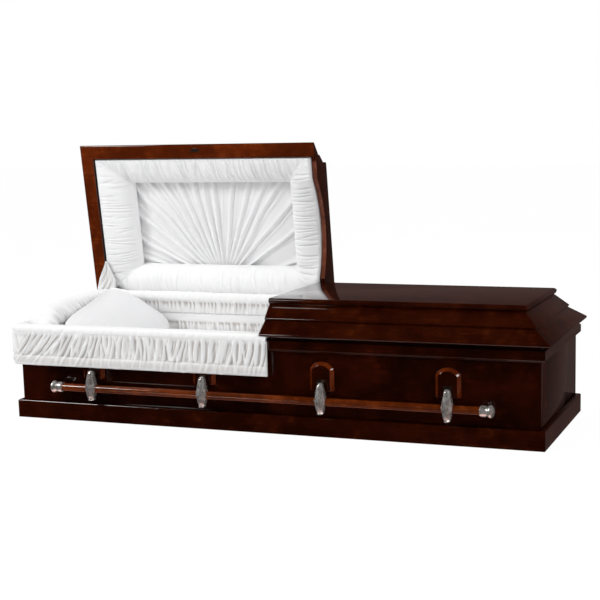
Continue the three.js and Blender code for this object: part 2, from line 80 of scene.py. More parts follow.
class Slot(Enum):
    """The finish slots that the record names."""

    DARK_WOOD = "dark_wood"
    BAR_WOOD = "bar_wood"
    SILVER = "silver_metal"
    DARK_METAL = "dark_metal"
    CLOTH = "white_cloth"
    SATIN = "pillow_satin"


class Fold(Enum):
    """What a gather line looks like: a sunken crease or a thin raised ridge."""

    CREASE = -1
    RIDGE = 1


# Number work


def eased(value: np.ndarray, low: float, high: float) -> np.ndarray:
    """Smooth rise from 0 at low to 1 at high.

    Args:
        value: Places to work out.
        low: Where the rise starts.
        high: Where the rise ends.

    Returns:
        The risen share at each place.
    """
    share = np.clip((value - low) / (high - low), 0.0, 1.0)
    return share * share * (3.0 - 2.0 * share)


def wander(place: np.ndarray, step: float, seed: int) -> np.ndarray:
    """Seeded value from -1 to 1 that drifts along a length.

    Args:
        place: Lengths in millimetres.
        step: Length between two turns of the drift.
        seed: Seed of the table of turns.

    Returns:
        The drift at each place.
    """
    table = np.random.default_rng(seed).uniform(-1.0, 1.0, TURNS)
    cell = place / step
    low = np.floor(cell).astype(int)
    share = cell - low
    share = share * share * (3.0 - 2.0 * share)
    return table[low % TURNS] * (1.0 - share) + table[(low + 1) % TURNS] * share


def smooth_line(points: Section, count: int) -> np.ndarray:
    """Even points along a smooth curve through the given ones.

    Args:
        points: Points that the curve passes.
        count: How many points to return.

    Returns:
        An array of count rows.
    """
    knots = np.array(points, float)
    ends = np.vstack([2 * knots[0] - knots[1], knots, 2 * knots[-1] - knots[-2]])
    pieces = []
    share = np.linspace(0.0, 1.0, KNOT_STEPS, endpoint=False)[:, None]
    for one, two, three, four in zip(ends, ends[1:], ends[2:], ends[3:]):
        square = (2 * one - 5 * two + 4 * three - four) * share**2
        cube = (3 * two - one - 3 * three + four) * share**3
        pieces.append(0.5 * (2 * two + (three - one) * share + square + cube))
    dense = np.vstack([*pieces, knots[-1:]])
    length = np.concatenate([[0.0], np.cumsum(np.linalg.norm(np.diff(dense, axis=0), axis=1))])
    even = np.linspace(0.0, length[-1], count)
    return np.stack([np.interp(even, length, dense[:, axis]) for axis in range(dense.shape[1])], 1)


@dataclass(frozen=True)
class Run:
    """Stations along a run in plan: their places, outward directions and lengths."""

    places: np.ndarray
    outward: np.ndarray
    length: np.ndarray

    def points(self, out: np.ndarray, up: np.ndarray) -> np.ndarray:
        """Place outsets and heights that have one row for each station."""
        plan = self.places[:, None] + self.outward[:, None] * out[..., None]
        return np.concatenate([plan, up[..., None]], axis=2)


def rounded_run(corners: Section, radius: float, step: float, closed: bool = False) -> Run:
    """Stations along a run with rounded corners, with the outside on the left of the travel.

    Args:
        corners: Ends and corners of the run in plan.
        radius: Corner radius on the run itself.
        step: Length between stations.
        closed: Whether the run closes on itself.

    Returns:
        The run, with its lengths measured on a line outside it.
    """
    plan = np.array(corners, float)
    count = len(plan)
    places, outward = [], []
    legs = count if closed else count - 1
    for leg in range(legs):
        start, end = plan[leg], plan[(leg + 1) % count]
        heading = (end - start) / np.linalg.norm(end - start)
        side = np.array([-heading[1], heading[0]])
        trimmed_start = start + heading * radius * (closed or leg > 0)
        trimmed_end = end - heading * radius * (closed or leg < legs - 1)
        reach = np.linalg.norm(trimmed_end - trimmed_start)
        for share in np.linspace(0.0, 1.0, max(2, int(reach / step)), endpoint=False):
            places.append(trimmed_start + (trimmed_end - trimmed_start) * share)
            outward.append(side)
        if closed or leg < legs - 1:
            onward = plan[(leg + 2) % count] - end
            onward = onward / np.linalg.norm(onward)
            centre = trimmed_end - side * radius
            for share in np.linspace(0.0, 1.0, max(4, int(1.6 * (radius + OUTSIDE) / step)), endpoint=False):
                turned = side * math.cos(share * math.pi / 2) + heading * math.sin(share * math.pi / 2)
                places.append(centre + turned * radius)
                outward.append(turned)
        else:
            places.append(trimmed_end)
            outward.append(side)
    places, outward = np.array(places), np.array(outward)
    outside = places + OUTSIDE * outward
    steps = np.linalg.norm(np.diff(outside, axis=0), axis=1)
    return Run(places, outward, np.concatenate([[0.0], np.cumsum(steps)]))


@dataclass(frozen=True)
class HingeLine:
    """The long hinge line of both lid halves, and how far the head half stands open."""

    pin_y: float = 331.0
    pin_z: float = 368.0
    open_degrees: float = 82.5

    def opened(self, points: np.ndarray) -> np.ndarray:
        """Turn points of the closed head lid to its open place.

        Args:
            points: Points of the closed lid, in millimetres.

        Returns:
            The same points on the open lid.
        """
        cosine = math.cos(math.radians(self.open_degrees))
        sine = math.sin(math.radians(self.open_degrees))
        out, up = points[..., 1] - self.pin_y, points[..., 2] - self.pin_z
        y = self.pin_y + out * cosine + up * sine
        z = self.pin_z - out * sine + up * cosine
        return np.stack([points[..., 0], y, z], -1)

    def outward(self) -> tuple[float, float, float]:
        """Direction from the open lid's rim towards its top board."""
        turn = math.radians(self.open_degrees)
        return (0.0, math.sin(turn), math.cos(turn))


HINGE = HingeLine()


@dataclass(frozen=True)
class Gathers:
    """How cloth gathers between two seams: lines that run through or fade on the way.

    Lines stand a spacing apart. Each is about a line wide, slants by the lean, sways from side to
    side, and either runs through or fades out at a share of the way between two limits.
    """

    LEAN_SPREAD = 0.08
    STRENGTHS = (0.45, 1.0)
    WIDTHS = (0.7, 1.35)
    BENDS = (0.4, 1.0)
    BEND_WAVE = 3.6
    PITCHES = (0.55, 1.45)

    spacing: float
    depth: float
    line: float
    seed: int
    fold: Fold = Fold.CREASE
    lean: float = 0.0
    sway: float = 5.0
    through: float = 0.5
    fade_from: float = 0.35
    fade_to: float = 0.9

    def relief(
        self,
        along: np.ndarray,
        across: np.ndarray,
        width: float,
        lean: Callable[[float], float] | None = None,
    ) -> np.ndarray:
        """Height of the gathered cloth over its base.

        Args:
            along: Length along the seams, as a grid.
            across: Share of the way from one seam to the other, as a grid.
            width: Distance between the seams.
            lean: Slant of a line by its place, in place of the fixed one.

        Returns:
            Heights from 0 to depth.
        """
        rng = np.random.default_rng(self.seed)
        calm = np.ones(np.broadcast(along, across).shape)
        low, high = float(along.min()) - self.spacing, float(along.max()) + self.spacing
        place = low
        while place < high:
            slant = lean(place) if lean else self.lean
            slant += rng.normal(0.0, self.LEAN_SPREAD)
            strength = rng.uniform(*self.STRENGTHS)
            wide = self.line * rng.uniform(*self.WIDTHS)
            turn, bend = rng.uniform(0.0, 2 * math.pi), rng.uniform(*self.BENDS) * self.sway
            swing = bend * np.sin(turn + self.BEND_WAVE * across)
            centre = place + slant * (across - 0.5) * width + swing
            mark = np.exp(-(((along - centre) / wide) ** 2))
            reach = rng.uniform(self.fade_from, self.fade_to)
            kind = rng.uniform()
            if kind > self.through:
                from_end = across if rng.uniform() < 0.5 else 1.0 - across
                mark = mark * (1.0 - eased(from_end, reach - 0.25, reach + 0.1))
            calm = calm * (1.0 - strength * mark)
            place += self.spacing * rng.uniform(*self.PITCHES)
        if self.fold is Fold.RIDGE:
            return self.depth * (1.0 - calm)
        return self.depth * calm


def closed_section(front: np.ndarray, back: Section) -> tuple[np.ndarray, np.ndarray]:
    """Close the visible side of a cloth's section with its back.

    Args:
        front: Points of the visible side.
        back: Points of the hidden side.

    Returns:
        The whole section, and which of its points are visible.
    """
    section = np.vstack([front, np.array(back, float)])
    return section, np.arange(len(section)) < len(front)


def pushed(section: np.ndarray, centre: Pair, rise: np.ndarray) -> np.ndarray:
    """Move the points of a roll's section away from its centre.

    Args:
        section: The section, alone or one for each station.
        centre: Centre of the roll in its section.
        rise: How far each point moves, one row for each station.

    Returns:
        The moved points of each station.
    """
    away = section - np.array(centre)
    away = away / np.linalg.norm(away, axis=-1)[..., None]
    return section + away * rise[..., None]


def backed(grid: np.ndarray, back: float) -> np.ndarray:
    """Close a grid of points into rings with a flat back.

    Args:
        grid: Points of the visible side.
        back: Height of the back.

    Returns:
        The rings.
    """
    edge = grid[:, [-1, 0]]
    edge[..., 2] = back
    return np.concatenate([grid, edge], axis=1)


# Meshes


def new_piece(name: str, points: np.ndarray, faces: list[list[int]], smooth: bool = True) -> bpy.types.Object:
    """Make a mesh object from points in millimetres.

    Args:
        name: Name of the piece.
        points: Points, one row each.
        faces: Corner numbers of each face.
        smooth: Whether the faces are shaded smooth.

    Returns:
        The new object.
    """
    mesh = bpy.data.meshes.new(name)
    mesh.from_pydata((np.asarray(points).reshape(-1, 3) * MM).tolist(), [], faces)
    work = bmesh.new()
    work.from_mesh(mesh)
    bmesh.ops.recalc_face_normals(work, faces=work.faces)
    work.to_mesh(mesh)
    work.free()
    mesh.polygons.foreach_set("use_smooth", [smooth] * len(mesh.polygons))
    mesh.update()
    piece = bpy.data.objects.new(name, mesh)
    bpy.context.scene.collection.objects.link(piece)
    return piece


def loft(name: str, rings: np.ndarray, looped: bool = False, smooth: bool = True) -> bpy.types.Object:
    """Skin closed rings of points, and cap the ends unless the rings loop.

    Args:
        name: Name of the piece.
        rings: Array of rings, points and coordinates.
        looped: Whether the last ring joins the first.
        smooth: Whether the faces are shaded smooth.

    Returns:
        The new object.
    """
    count, around = rings.shape[:2]
    index = np.arange(count * around).reshape(count, around)
    run = np.arange(count if looped else count - 1)
    first, second = index[run], index[(run + 1) % count]
    quads = np.stack([first, np.roll(first, -1, 1), np.roll(second, -1, 1), second], -1)
    faces = quads.reshape(-1, 4).tolist()
    if not looped:
        faces += [index[0][::-1].tolist(), index[-1].tolist()]
    return new_piece(name, rings, faces, smooth)


def turned(name: str, profile: Section, sides: int, axis: Vector, centre: Vector) -> bpy.types.Object:
    """Turn a profile of length and radius about an axis.

    Args:
        name: Name of the piece.
        profile: Lengths along the axis with radii.
        sides: Facets round the axis.
        axis: Direction of the axis.
        centre: Point where the length is 0.

    Returns:
        The new object.
    """
    frame_of_axis = axis.to_track_quat("Z", "Y").to_matrix()
    angles = np.linspace(0.0, 2 * math.pi, sides, endpoint=False)
    rings = []
    for length, radius in profile:
        ring = [Vector((radius * math.cos(a), radius * math.sin(a), length)) for a in angles]
        rings.append([tuple(centre + frame_of_axis @ point) for point in ring])
    piece = loft(name, np.array(rings))
    piece.data.set_sharp_from_angle(angle=math.radians(40))
    return piece


def bevelled(piece: bpy.types.Object, width: float, limit: float, sharp: float) -> None:
    """Ease a piece's arrises, and shade it smooth up to its sharper edges.

    Args:
        piece: The piece.
        width: Width of an eased arris in millimetres.
        limit: Least angle of an arris that is eased, in degrees.
        sharp: Least angle that is shaded as an edge, in degrees.
    """
    ease = piece.modifiers.new("ease", "BEVEL")
    ease.width = width * MM
    ease.segments = 2
    ease.limit_method = "ANGLE"
    ease.angle_limit = math.radians(limit)
    shown = piece.evaluated_get(bpy.context.evaluated_depsgraph_get())
    piece.data = bpy.data.meshes.new_from_object(shown)
    piece.modifiers.clear()
    piece.data.polygons.foreach_set("use_smooth", [True] * len(piece.data.polygons))
    piece.data.set_sharp_from_angle(angle=math.radians(sharp))


def softened(node: str, bevel: float, limit: float = 32.0) -> bpy.types.Object:
    """Copy a wooden node's shape with its sharp arrises eased as a joiner sands them.

    Args:
        node: Name of the node.
        bevel: Width of the eased arris in millimetres.
        limit: Least angle of an arris that is eased, in degrees.

    Returns:
        The new object.
    """
    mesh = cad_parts[node].data.copy()
    mesh.name = f"{node}_polished"
    mesh.materials.clear()
    work = bmesh.new()
    work.from_mesh(mesh)
    bmesh.ops.remove_doubles(work, verts=work.verts, dist=0.00002)
    flat = math.radians(0.4)
    bmesh.ops.dissolve_limit(work, angle_limit=flat, verts=work.verts, edges=work.edges, delimit=set())
    work.to_mesh(mesh)
    work.free()
    piece = bpy.data.objects.new(f"{node}_polished", mesh)
    bpy.context.scene.collection.objects.link(piece)
    bevelled(piece, bevel, limit, 28.0)
    return piece


def mark_hollows(piece: bpy.types.Object, depth: float, added_shade: np.ndarray | float = 0.0) -> None:
    """Store on each point how far it lies in a fold: 0 on a crest, 1 in a crease, for the painted crease
    shade.

    Args:
        piece: A cloth piece.
        depth: How deep a crease is in millimetres.
        added_shade: Share of painted shade that is added where the cloth is greyer without a fold.
    """
    mesh = piece.data
    count = len(mesh.vertices)
    places, normals = np.empty(3 * count), np.empty(3 * count)
    mesh.vertices.foreach_get("co", places)
    mesh.vertex_normals.foreach_get("vector", normals)
    places, normals = places.reshape(-1, 3), normals.reshape(-1, 3)
    ends = np.empty(2 * len(mesh.edges), int)
    mesh.edges.foreach_get("vertices", ends)
    one, two = ends.reshape(-1, 2).T
    degree = np.bincount(ends, minlength=count)
    base = places.copy()
    for _ in range(EVENING_ROUNDS):
        for axis in range(3):
            column = base[:, axis]
            total = np.bincount(one, column[two], count) + np.bincount(two, column[one], count)
            base[:, axis] = 0.5 * column + 0.5 * total / degree
    sunk = ((base - places) * normals).sum(1) / MM
    hollow = mesh.attributes.new("hollow", "FLOAT", "POINT")
    hollow.data.foreach_set("value", np.clip(0.5 + 0.5 * sunk / depth + added_shade, 0.0, 1.0))


# Shaders


class Term:
    """A shader value that is worked with as a number."""

    def __init__(self, bench: "Bench", socket: bpy.types.NodeSocket) -> None:
        """Wrap one output socket of a bench's node tree."""
        self.bench = bench
        self.socket = socket

    def _with(self, operation: str, first: "Term | float", second: "Term | float") -> "Term":
        """Add one Math node and wrap its result."""
        return self.bench.term("ShaderNodeMath", {"operation": operation}, {0: first, 1: second})

    def __add__(self, other: "Term | float") -> "Term":
        """Sum of two values."""
        return self._with("ADD", self, other)

    __radd__ = __add__

    def __sub__(self, other: "Term | float") -> "Term":
        """Difference of two values."""
        return self._with("SUBTRACT", self, other)

    def __rsub__(self, other: float) -> "Term":
        """A number less this value."""
        return self._with("SUBTRACT", other, self)

    def __mul__(self, other: "Term | float") -> "Term":
        """Product of two values."""
        return self._with("MULTIPLY", self, other)

    __rmul__ = __mul__

    def eased(self, low: float, high: float) -> "Term":
        """Smooth rise from 0 at low to 1 at high."""
        values = {"Value": self, "From Min": low, "From Max": high}
        return self.bench.term("ShaderNodeMapRange", {"interpolation_type": "SMOOTHSTEP"}, values)


class Bench:
    """A node tree and the one place where its nodes are made."""

    def __init__(self, name: str, world: bool = False) -> None:
        """Start a material, or the studio's surround, with its bare shader.

        Args:
            name: Name of the material or surround.
            world: Whether it is the surround.
        """
        self.material = bpy.data.worlds.new(name) if world else bpy.data.materials.new(name)
        self.material.use_nodes = True
        self.tree = self.material.node_tree
        self.shader = self.tree.nodes["Background" if world else "Principled BSDF"]

    def feed(self, socket: bpy.types.NodeSocket, value: object) -> None:
        """Link a term or socket, or set a plain value.

        Args:
            socket: The input socket.
            value: A term, an output socket, a number or a colour.
        """
        if isinstance(value, Term):
            self.tree.links.new(value.socket, socket)
        elif isinstance(value, bpy.types.NodeSocket):
            self.tree.links.new(value, socket)
        else:
            socket.default_value = value

    def node(self, kind: str, settings: dict | None = None, inputs: dict | None = None) -> bpy.types.Node:
        """Add a node: its settings first, then its sockets.

        Args:
            kind: Node type.
            settings: Attributes of the node.
            inputs: Values or links by socket name or number.

        Returns:
            The new node.
        """
        made = self.tree.nodes.new(kind)
        for key, value in (settings or {}).items():
            setattr(made, key, value)
        for key, value in (inputs or {}).items():
            self.feed(made.inputs[key], value)
        return made

    def term(
        self, kind: str, settings: dict | None = None, inputs: dict | None = None, output: int | str = 0
    ) -> Term:
        """Add a node and wrap one of its outputs."""
        return Term(self, self.node(kind, settings, inputs).outputs[output])

    def place(
        self, stretch: Triple = (1.0, 1.0, 1.0), turn: Triple = (0.0, 0.0, 0.0)
    ) -> bpy.types.NodeSocket:
        """Object coordinates, stretched and turned.

        Args:
            stretch: Scale along each axis.
            turn: Turn about each axis, in radians.

        Returns:
            The vector socket.
        """
        spot = self.node("ShaderNodeTexCoord").outputs["Object"]
        values = {"Vector": spot, "Scale": stretch, "Rotation": turn}
        return self.node("ShaderNodeMapping", {}, values).outputs[0]

    def noise(self, vector: bpy.types.NodeSocket, scale: float, detail: float = 3.0) -> Term:
        """Cloudy values about a half."""
        values = {"Vector": vector, "Scale": scale, "Detail": detail, "Roughness": 0.55}
        return self.term("ShaderNodeTexNoise", {}, values)

    def tint(self, share: Term, low: Triple, high: Triple) -> bpy.types.NodeSocket:
        """Mix two colours by a share.

        Args:
            share: Share of the second colour.
            low: First colour, or a socket that gives it.
            high: Second colour.

        Returns:
            The socket of the mixed colour.
        """
        made = self.node("ShaderNodeMix", {"data_type": "RGBA"})
        self.feed(made.inputs["Factor"], share)
        for key, colour in (("A", low), ("B", high)):
            socket = next(s for s in made.inputs if s.name == key and s.type == "RGBA")
            self.feed(socket, colour if isinstance(colour, bpy.types.NodeSocket) else (*colour, 1.0))
        return next(s for s in made.outputs if s.type == "RGBA")

    def bump(self, height: Term, distance: float, strength: float = 1.0) -> None:
        """Feed a height to the shader's normal."""
        made = self.node("ShaderNodeBump", {}, {"Height": height, "Distance": distance, "Strength": strength})
        self.feed(self.shader.inputs["Normal"], made.outputs[0])

    def hold(self, **values: float) -> None:
        """Set the shader's own sockets, with underscores for spaces."""
        for key, value in values.items():
            self.shader.inputs[key.replace("_", " ")].default_value = value


@dataclass(frozen=True)
class WoodFinish:
    """Stained wood under polished lacquer, clouded where the stain took unevenly."""

    name: str
    dark: Triple
    middle: Triple
    light: Triple
    cloud_scale: float = 6.0
    lacquer: float = 1.0
    shine: float = 0.08

    def build(self) -> bpy.types.Material:
        """Make the material.

        Returns:
            The wood material.
        """
        bench = Bench(self.name)
        plain = bench.place()
        grain = bench.place((4.0, 60.0, 60.0))
        clouds = bench.noise(plain, self.cloud_scale, 4.0)
        mottle = bench.noise(plain, self.cloud_scale * 4.3, 3.0)
        streaks = bench.noise(grain, 2.4, 4.0)
        depth = (clouds * 0.62 + mottle * 0.23 + streaks * 0.15).eased(0.4, 0.62)
        flecks = (mottle * 0.6 + streaks * 0.4).eased(0.5, 0.72)
        stain = bench.tint(depth, self.dark, self.middle)
        bench.feed(bench.shader.inputs["Base Color"], bench.tint(flecks * depth * 0.8, stain, self.light))
        bench.feed(bench.shader.inputs["Roughness"], 0.34 + streaks * 0.16)
        bench.hold(Coat_Weight=self.lacquer, Coat_Roughness=self.shine, Coat_IOR=1.5, Specular_IOR_Level=0.0)
        bench.bump(streaks, 0.0004, 0.12)
        return bench.material


@dataclass(frozen=True)
class ClothFinish:
    """White crepe or satin with a fine weave, with painted shade in its creases."""

    name: str
    shade: Triple
    light: Triple
    weave_scale: float = 900.0
    weave_depth: float = 0.0003
    roughness: float = 0.8
    sheen: float = 0.25
    twill: bool = False

    def build(self) -> bpy.types.Material:
        """Make the material.

        Returns:
            The cloth material.
        """
        bench = Bench(self.name)
        plain = bench.place()
        hollow = bench.term("ShaderNodeAttribute", {"attribute_name": "hollow"}, output="Fac")
        drift = bench.noise(plain, 18.0, 3.0) * 0.1
        weave = bench.noise(plain, self.weave_scale, 2.0)
        height = weave
        if self.twill:
            slanted = bench.place((1.0, 1.0, 1.0), (0.0, 0.0, math.radians(38)))
            ribs = bench.term(
                "ShaderNodeTexWave",
                {"wave_type": "BANDS", "bands_direction": "DIAGONAL"},
                {"Vector": slanted, "Scale": 62.0, "Distortion": 0.6, "Detail": 1.0},
            )
            height = ribs * 0.8 + weave * 0.2
        # Painted shade: the light colour turns to the shade colour by the stored fold depth, with a little
        # random drift.
        cloth = bench.tint((hollow + drift).eased(0.5, 1.0), self.light, self.shade)
        bench.feed(bench.shader.inputs["Base Color"], cloth)
        bench.feed(bench.shader.inputs["Roughness"], self.roughness - 0.08 + weave * 0.16)
        bench.hold(Sheen_Weight=self.sheen, Sheen_Roughness=0.45, Specular_IOR_Level=0.3)
        bench.bump(height, self.weave_depth, 0.6)
        return bench.material


@dataclass(frozen=True)
class MetalFinish:
    """Cast metal with a worn, slightly uneven polish."""

    name: str
    low: Triple
    high: Triple
    roughness: float = 0.28

    def build(self) -> bpy.types.Material:
        """Make the material.

        Returns:
            The metal material.
        """
        bench = Bench(self.name)
        plain = bench.place()
        tarnish = bench.noise(plain, 70.0, 4.0)
        grit = bench.noise(plain, 420.0, 2.0)
        bench.feed(
            bench.shader.inputs["Base Color"], bench.tint(tarnish.eased(0.38, 0.66), self.low, self.high)
        )
        bench.feed(bench.shader.inputs["Roughness"], self.roughness - 0.06 + tarnish * 0.14)
        bench.hold(Metallic=0.82)
        bench.bump(grit, 0.0002, 0.25)
        return bench.material


class Finish(Enum):
    """Every finish on the casket."""

    PANEL_WOOD = WoodFinish(
        "panel_wood", (0.008, 0.0011, 0.0002), (0.022, 0.0027, 0.0004), (0.044, 0.006, 0.001), 4.0
    )
    # Paler wood for the open head lid's forward-facing rim faces and the painted highlight on the lug bevels.
    LID_WOOD = WoodFinish("pale_and_highlight_wood", (0.07, 0.0105, 0.0018), (0.13, 0.02, 0.0032), (0.22, 0.04, 0.007), 6.0)
    RIM_WOOD = WoodFinish(
        "rim_wood", (0.0145, 0.0018, 0.0003), (0.0305, 0.0042, 0.0006), (0.058, 0.0094, 0.0014), 5.0
    )
    EDGE_WOOD = WoodFinish(
        "edge_wood", (0.11, 0.028, 0.014), (0.2, 0.06, 0.034), (0.28, 0.095, 0.06), 9.0, 0.4, 0.25
    )
    BAR_WOOD = WoodFinish(
        "handle_wood", (0.07, 0.011, 0.0012), (0.14, 0.024, 0.003), (0.22, 0.045, 0.007), 9.0
    )
    INNER_WOOD = WoodFinish(
        "inner_wood", (0.30, 0.19, 0.10), (0.42, 0.28, 0.16), (0.5, 0.35, 0.21), 7.0, 0.0, 0.4
    )
    LID_CLOTH = ClothFinish("lid_cloth", (0.74, 0.735, 0.74), (0.95, 0.95, 0.955))
    BODY_CLOTH = ClothFinish("body_cloth", (0.58, 0.55, 0.53), (0.9, 0.9, 0.9), 900.0, 0.0004)
    PILLOW_SATIN = ClothFinish(
        "twill_satin", (0.66, 0.66, 0.67), (0.79, 0.79, 0.80), 1200.0, 0.0006, 0.5, 0.15, True
    )
    SILVER = MetalFinish("cast_silver", (0.60, 0.56, 0.53), (0.92, 0.90, 0.88), 0.27)
    BRONZE = MetalFinish("dark_bronze", (0.05, 0.028, 0.018), (0.16, 0.10, 0.07), 0.3)

    def material(self) -> bpy.types.Material:
        """The material of this finish, made on first use."""
        return bpy.data.materials.get(self.value.name) or self.value.build()


def dress(piece: bpy.types.Object, finish: Finish) -> None:
    """Give a piece one finish all over."""
    piece.data.materials.clear()
    piece.data.materials.append(finish.material())


def settle(
    piece: bpy.types.Object, finish: Finish, slot: Slot, body: Body | None, *nodes: str
) -> bpy.types.Object:
    """Dress a piece, name its slot and let it ride on a body in place of the given nodes.

    Args:
        piece: The piece.
        finish: Its finish.
        slot: The record's slot of that finish; not used.
        body: The body it rides on, or None for a piece that spans two bodies, which then rides on neither.
        nodes: The nodes it stands for.

    Returns:
        The same piece.
    """
    dress(piece, finish)
    if nodes:
        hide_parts(*nodes)
    if body:
        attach(piece, body.value)
    LOG.info("%s: %d faces", piece.name, len(piece.data.polygons))
    return piece


def accent(piece: bpy.types.Object, finish: Finish, wanted: Callable[[Vector, Vector], bool]) -> None:
    """Give some faces of a piece a second finish.

    Args:
        piece: The piece.
        finish: The second finish.
        wanted: Whether a face has it, by its centre and normal.
    """
    piece.data.materials.append(finish.material())
    for face in piece.data.polygons:
        if wanted(face.center, face.normal):
            face.material_index = 1


# Sub-assemblies


@dataclass(frozen=True)
class Viewpoint:
    """The camera that sees the casket as the photograph does."""

    place: Triple = (1.9334, -4.6235, 1.1111)
    azimuth: float = 20.394
    elevation: float = 8.838
    roll: float = -1.145
    lens: float = 78.405
    shift: Pair = (-0.0782, 0.0480)
    sensor: float = 36.0
    reach: float = 60.0

    def build(self) -> None:
        """Make the camera and make it the scene's."""
        azimuth, elevation, roll = (math.radians(a) for a in (self.azimuth, self.elevation, self.roll))
        level = math.cos(elevation)
        back = Vector((math.sin(azimuth) * level, -math.cos(azimuth) * level, math.sin(elevation)))
        right = Vector((math.cos(azimuth), math.sin(azimuth), 0.0))
        up = back.cross(right)
        tilted_right = right * math.cos(roll) + up * math.sin(roll)
        tilted_up = up * math.cos(roll) - right * math.sin(roll)
        turn = Matrix((tilted_right, tilted_up, back)).transposed()
        camera = bpy.data.cameras.new("view")
        camera.sensor_width = self.sensor
        camera.lens = self.lens
        camera.shift_x, camera.shift_y = self.shift
        camera.clip_end = self.reach
        holder = bpy.data.objects.new("view", camera)
        holder.matrix_world = Matrix.Translation(Vector(self.place)) @ turn.to_4x4()
        bpy.context.scene.collection.objects.link(holder)
        bpy.context.scene.camera = holder


@dataclass(frozen=True)
class Lamp:
    """A soft square lamp that looks at a point."""

    name: str
    place: Triple
    target: Triple
    size: float
    power: float
    mirrored: bool = True

    def build(self) -> None:
        """Make the lamp."""
        lamp = bpy.data.lights.new(self.name, "AREA")
        lamp.shape = "SQUARE"
        lamp.size = self.size
        lamp.energy = self.power
        holder = bpy.data.objects.new(self.name, lamp)
        holder.location = self.place
        aim = Vector(self.target) - Vector(self.place)
        holder.rotation_euler = aim.to_track_quat("-Z", "Y").to_euler()
        holder.visible_glossy = self.mirrored
        bpy.context.scene.collection.objects.link(holder)


@dataclass(frozen=True)
class Studio:
    """White studio: pale floor, soft lamps and a white surround, dark where the lacquer looks."""

    floor_half: float = 30.0
    floor_tone: float = 0.85
    floor_glow: float = 1.04
    floor_share: float = 0.93
    warm: Triple = (1.0, 0.66, 0.6)
    surround: float = 0.44
    gloss_least: float = 0.008
    gloss_behind: float = 0.075
    gloss_beside: float = 0.14
    gloss_below: float = 1.2
    lamps: tuple[Lamp, ...] = (
        Lamp("left_lamp", (-3.6, -3.0, 3.4), (-0.3, 0.1, 0.5), 1.2, 104.0),
        Lamp("right_lamp", (4.2, -2.2, 2.9), (0.0, 0.0, 0.4), 1.3, 62.0),
        Lamp("top_lamp", (-0.5, -0.3, 4.2), (-0.3, 0.0, 0.3), 1.8, 53.0, False),
    )

    def build(self) -> None:
        """Make the floor, the lamps and the surround."""
        bpy.context.scene.view_settings.view_transform = "Standard"
        self._floor()
        for lamp in self.lamps:
            lamp.build()
        self._surround()

    def _surround(self) -> None:
        """White to the eye, soft as light, and dark to polished faces but behind, beside and below."""
        bench = Bench("white_surround", world=True)
        bpy.context.scene.world = bench.material
        spot = bench.node("ShaderNodeTexCoord").outputs["Generated"]
        parts = bench.node("ShaderNodeSeparateXYZ", {}, {"Vector": spot})
        beside, behind, above = (Term(bench, socket) for socket in parts.outputs)
        level = 1.0 - above.eased(0.25, 0.6)
        gloss = self.gloss_least + behind.eased(0.2, 0.9) * level * self.gloss_behind
        gloss = gloss + beside.eased(0.6, 0.95) * level * self.gloss_beside
        gloss = gloss + (0.0 - above).eased(0.6, 0.9) * self.gloss_below
        paths = bench.node("ShaderNodeLightPath")
        eye = Term(bench, paths.outputs["Is Camera Ray"])
        polish = Term(bench, paths.outputs["Is Glossy Ray"])
        lit = polish * gloss + (1.0 - polish) * self.surround
        bench.feed(bench.shader.inputs["Strength"], eye + (1.0 - eye) * lit)
        tone = bench.tint(polish * (1.0 - eye), (1.0, 1.0, 1.0), self.warm)
        bench.feed(bench.shader.inputs["Color"], tone)

    def _floor(self) -> None:
        """Make the pale floor, which the polished wood doesn't mirror."""
        half = self.floor_half / MM
        corners = np.array([[-half, -half, 0], [half, -half, 0], [half, half, 0], [-half, half, 0]])
        floor = new_piece("floor", corners, [[0, 1, 2, 3]])
        bench = Bench("pale_floor")
        bench.hold(Roughness=1.0, Specular_IOR_Level=0.0)
        tone = self.floor_tone
        bench.feed(bench.shader.inputs["Base Color"], (tone, tone, tone, 1.0))
        values = {"Color": (1.0, 1.0, 1.0, 1.0), "Strength": self.floor_glow}
        glow = bench.node("ShaderNodeEmission", {}, values)
        eye = bench.term("ShaderNodeLightPath", output="Is Camera Ray") * self.floor_share
        shaders = {0: eye, 1: bench.shader.outputs[0], 2: glow.outputs[0]}
        mixed = bench.node("ShaderNodeMixShader", {}, shaders)
        bench.feed(bench.tree.nodes["Material Output"].inputs["Surface"], mixed.outputs[0])
        floor.data.materials.append(bench.material)
        floor.visible_glossy = False


